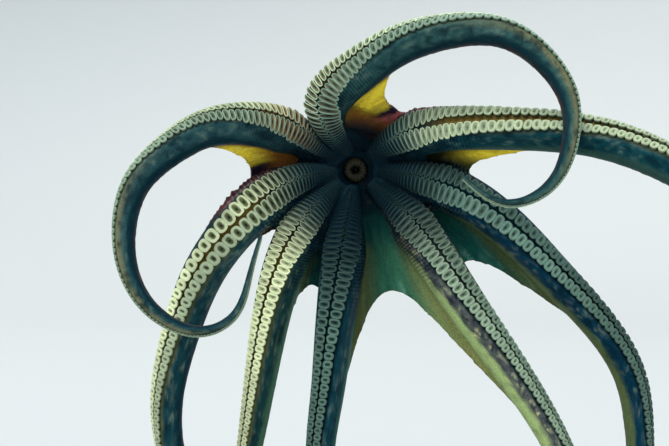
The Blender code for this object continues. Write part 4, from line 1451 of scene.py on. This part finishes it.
def flesh_material(name, roughness, bump_size, bump_depth, speckle, soft):
    """Painted flesh: fine speckles and pores over the paint, and ridges where the piece has them."""
    made, tree, shader = nodes_of(name)
    place = node(tree, "TexCoord")
    colour = node(tree, "Attribute", attribute_name="paint")
    fine = node(tree, "TexNoise", Scale=1 / (1.1 * MM), Detail=3.0, Roughness=0.6)
    dots = node(tree, "TexVoronoi", Scale=1 / (0.9 * MM))
    amount = ranged(tree, 0.30, 0.70, 1 - speckle, 1 + speckle)
    dot = ranged(tree, 0.10, 0.34, 1 - 0.8 * speckle, 1.0)
    both = node(tree, "Math", operation="MULTIPLY")
    count = node(tree, "Attribute", attribute_name="sucker_count")
    ridged = node(tree, "Attribute", attribute_name="ridged")
    phase = node(tree, "Math", operation="MULTIPLY")
    phase.inputs[1].default_value = 4 * math.pi  # two ridges to a sucker
    wave = node(tree, "Math", operation="SINE")
    ridge = node(tree, "Math", operation="MULTIPLY")
    # Painted light and shade on the ridges: the colour is lighter on their crests and darker between them.
    ridge_shading = ranged(tree, -1.0, 1.0, 0.55, 1.6)
    shown = node(tree, "Math", operation="MULTIPLY")
    scale = node(tree, "VectorMath", operation="SCALE")
    wire(
        tree,
        (place, "Object", fine, "Vector"),
        (place, "Object", dots, "Vector"),
        (fine, "Fac", amount, "Value"),
        (dots, "Distance", dot, "Value"),
        (amount, "Result", both, 0),
        (dot, "Result", both, 1),
        (count, "Fac", phase, 0),
        (phase, "Value", wave, 0),
        (wave, "Value", ridge, 0),
        (ridged, "Fac", ridge, 1),
        (ridge, "Value", ridge_shading, "Value"),
        (both, "Value", shown, 0),
        (ridge_shading, "Result", shown, 1),
        (colour, "Color", scale, 0),
        (shown, "Value", scale, "Scale"),
        (scale, "Vector", shader, "Base Color"),
    )
    relief = node(tree, "TexNoise", Scale=1 / bump_size, Detail=4.0, Roughness=0.55)
    bump = node(tree, "Bump", Strength=0.5, Distance=bump_depth)
    ridges = node(tree, "Bump", Strength=0.8, Distance=0.35 * MM)
    gloss = ranged(tree, 0.0, 1.0, roughness - 0.08, roughness + 0.10)
    wire(
        tree,
        (place, "Object", relief, "Vector"),
        (relief, "Fac", bump, "Height"),
        (ridge, "Value", ridges, "Height"),
        (bump, "Normal", ridges, "Normal"),
        (ridges, "Normal", shader, "Normal"),
        (relief, "Fac", gloss, "Value"),
        (gloss, "Result", shader, "Roughness"),
    )
    set_finish(shader, Specular_IOR_Level=0.10, Specular_Tint=(0.35, 0.75, 0.95, 1))
    set_finish(shader, Subsurface_Weight=soft, Subsurface_Scale=1 * MM)
    set_finish(shader, Subsurface_Radius=(0.6, 0.8, 0.7))
    return made


def glossy_material(name, roughness, coat):
    """Hard, wet and painted: the eyes and the beak."""
    made, tree, shader = nodes_of(name)
    place = node(tree, "TexCoord")
    colour = node(tree, "Attribute", attribute_name="paint")
    fine = node(tree, "TexNoise", Scale=1 / (0.6 * MM), Detail=2.0)
    amount = ranged(tree, 0.3, 0.7, 0.85, 1.15)
    gloss = ranged(tree, 0.3, 0.7, roughness, roughness + 0.06)
    scale = node(tree, "VectorMath", operation="SCALE")
    wire(
        tree,
        (place, "Object", fine, "Vector"),
        (fine, "Fac", amount, "Value"),
        (fine, "Fac", gloss, "Value"),
        (colour, "Color", scale, 0),
        (amount, "Result", scale, "Scale"),
        (scale, "Vector", shader, "Base Color"),
        (gloss, "Result", shader, "Roughness"),
    )
    set_finish(shader, Coat_Weight=coat, Coat_Roughness=0.04)
    return made


def stand_material(name, dark, light, roughness, metallic, grain, depth):
    """A satin black finish with a faint grain and the odd rubbed patch."""
    made, tree, shader = nodes_of(name)
    place = node(tree, "TexCoord")
    stretch = node(tree, "Mapping")
    stretch.inputs["Scale"].default_value = grain
    pores = node(tree, "TexNoise", Scale=1.0, Detail=5.0, Roughness=0.65)
    clouds = node(tree, "TexNoise", Scale=18.0, Detail=2.0)
    both = node(tree, "Math", operation="MULTIPLY")
    ramp = node(tree, "ValToRGB")
    ramp.color_ramp.elements[0].color = (*dark, 1)
    ramp.color_ramp.elements[0].position = 0.12
    ramp.color_ramp.elements[1].color = (*light, 1)
    ramp.color_ramp.elements[1].position = 0.42
    gloss = ranged(tree, 0.3, 0.7, roughness - 0.06, roughness + 0.08)
    bump = node(tree, "Bump", Strength=0.35, Distance=depth)
    wire(
        tree,
        (place, "Object", stretch, "Vector"),
        (stretch, "Vector", pores, "Vector"),
        (place, "Object", clouds, "Vector"),
        (pores, "Fac", both, 0),
        (clouds, "Fac", both, 1),
        (both, "Value", ramp, "Fac"),
        (ramp, "Color", shader, "Base Color"),
        (clouds, "Fac", gloss, "Value"),
        (gloss, "Result", shader, "Roughness"),
        (pores, "Fac", bump, "Height"),
        (bump, "Normal", shader, "Normal"),
    )
    set_finish(shader, Metallic=metallic)
    return made


def dress(obj, look, replaces=()):
    """Gives a piece its material, hangs it on the root, and hides the nodes of the frame that it stands
    for.
    """
    obj.data.materials.clear()
    obj.data.materials.append(look)
    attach(obj, "root")
    if replaces:
        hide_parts(*replaces)


# ---- making ----

arms = make_arms()
grids = {(one, two): web_grid(arms[one], arms[two], reach) for (one, two), reach in WEBS.items()}
skin = build_flesh(arms, grids)
add_relief(skin.data, Places(points_of(skin.data)))
thin_out(skin, SKIN_TRIANGLES)
for side in (1, -1):
    shape_lids(skin.data, side)
skin.data.shade_smooth()
paint_skin(skin.data)
skin_look = flesh_material("skin_look", 0.50, 1.6 * MM, 0.35 * MM, 0.22, 0.10)
flesh_nodes = [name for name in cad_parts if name.startswith(("arm_", "web_"))]
flesh_nodes += ["head", "mantle", "siphon"]
dress(skin, skin_look, flesh_nodes)

sucker_look = flesh_material("sucker_look", 0.45, 0.9 * MM, 0.12 * MM, 0.14, 0.10)
for arm_name in arms:
    dress(build_suckers(arm_name), sucker_look)

lip_look = flesh_material("lip_look", 0.42, 0.7 * MM, 0.10 * MM, 0.16, 0.10)
dress(build_lips(), lip_look, ["mouth_lips"])
beak_look = glossy_material("beak_look", 0.22, 0.4)
mandibles = [build_mandible("beak_lower", -1, 1.25, 0.35), build_mandible("beak_upper", 1, 2.3, 0.30)]
dress(joined("beak_hooked", mandibles), beak_look, ["beak"])
eye_look = glossy_material("eye_look", 0.10, 0.9)
for name, side in (("eye_left", 1), ("eye_right", -1)):
    dress(build_eye(f"{name}_ball", side), eye_look, [name])

dark, light = srgb(20, 20, 21), srgb(38, 37, 36)
base_look = stand_material("base_look", dark, light, 0.42, 0.0, (60, 900, 60), 0.05 * MM)
dark, light = srgb(24, 25, 26), srgb(44, 45, 46)
metal_look = stand_material("metal_look", dark, light, 0.36, 0.5, (700, 700, 700), 0.03 * MM)
dark, light = srgb(16, 16, 16), srgb(34, 34, 34)
pad_look = stand_material("pad_look", dark, light, 0.62, 0.0, (1500, 1500, 1500), 0.05 * MM)
dress(build_base(), base_look, ["stand_base"])
for place in ROD_BACKS:
    dress(build_collar(place), metal_look, [f"stand_collar_{place}"])
    dress(build_rod(place), metal_look, [f"stand_rod_{place}"])
    dress(build_saddle(place, skin), pad_look, [f"stand_saddle_{place}"])


# ---- the room, the lights and the camera ----

FLOOR_RADIUS, COVE_RADIUS, WALL_TOP = 2.2, 1.8, 2.3


def build_studio():
    """A pale floor that sweeps up into a wall all round."""
    profile = [(0.0, 0.0), (FLOOR_RADIUS, 0.0)]
    for angle in np.radians(np.arange(6, 91, 6)):
        up = COVE_RADIUS - COVE_RADIUS * math.cos(angle)
        profile.append((FLOOR_RADIUS + COVE_RADIUS * math.sin(angle), up))
    profile.append((FLOOR_RADIUS + COVE_RADIUS, WALL_TOP))
    data = bpy.data.meshes.new("studio")
    with edited(data) as mesh:
        chain = [mesh.verts.new((x, 0, z - 0.0001)) for x, z in profile]
        edges = [mesh.edges.new(pair) for pair in zip(chain, chain[1:])]
        spun = chain + edges
        bmesh.ops.spin(mesh, geom=spun, axis=(0, 0, 1), cent=(0, 0, 0), angle=2 * math.pi, steps=96)
        bmesh.ops.remove_doubles(mesh, verts=mesh.verts, dist=0.0005)
        bmesh.ops.recalc_face_normals(mesh, faces=mesh.faces)
        bmesh.ops.reverse_faces(mesh, faces=mesh.faces)
    data.shade_smooth()
    room = bpy.data.objects.new("studio", data)
    bpy.context.scene.collection.objects.link(room)
    made, _, shader = nodes_of("studio_look")
    set_finish(shader, Base_Color=(0.60, 0.62, 0.63, 1), Roughness=1.0, Specular_IOR_Level=0.0)
    data.materials.append(made)


def sun(name, source, spread, strength, colour):
    """A far soft lamp that shines from the source's direction."""
    data = bpy.data.lights.new(name, "SUN")
    data.angle = math.radians(spread)
    data.energy = strength
    data.color = colour
    made = bpy.data.objects.new(name, data)
    made.rotation_mode = "QUATERNION"
    made.rotation_quaternion = (-Vector(source)).to_track_quat("-Z", "Y")
    bpy.context.scene.collection.objects.link(made)


build_studio()
sun("key", (-0.50, -0.55, 0.90), 25, 2.3, (1.0, 0.98, 0.92))
sun("fill", (0.80, -0.80, 0.75), 40, 0.55, (0.86, 0.95, 1.0))
sun("back", (0.30, 0.85, 0.95), 30, 0.9, (0.93, 0.98, 1.0))
world = bpy.data.worlds.new("studio_air")
world.use_nodes = True
set_finish(world.node_tree.nodes["Background"], Color=(0.84, 0.94, 1.0, 1), Strength=0.60)
bpy.context.scene.world = world
bpy.context.scene.view_settings.view_transform = "Standard"

camera_data = bpy.data.cameras.new("camera")
camera_data.lens = 43.5
camera_data.sensor_width = 36
camera_data.clip_start = 0.02
camera = bpy.data.objects.new("camera", camera_data)
camera.location = (0.0, -0.55, 0.327)
camera.rotation_euler = (math.pi / 2, 0, 0)
bpy.context.scene.collection.objects.link(camera)
bpy.context.scene.camera = camera
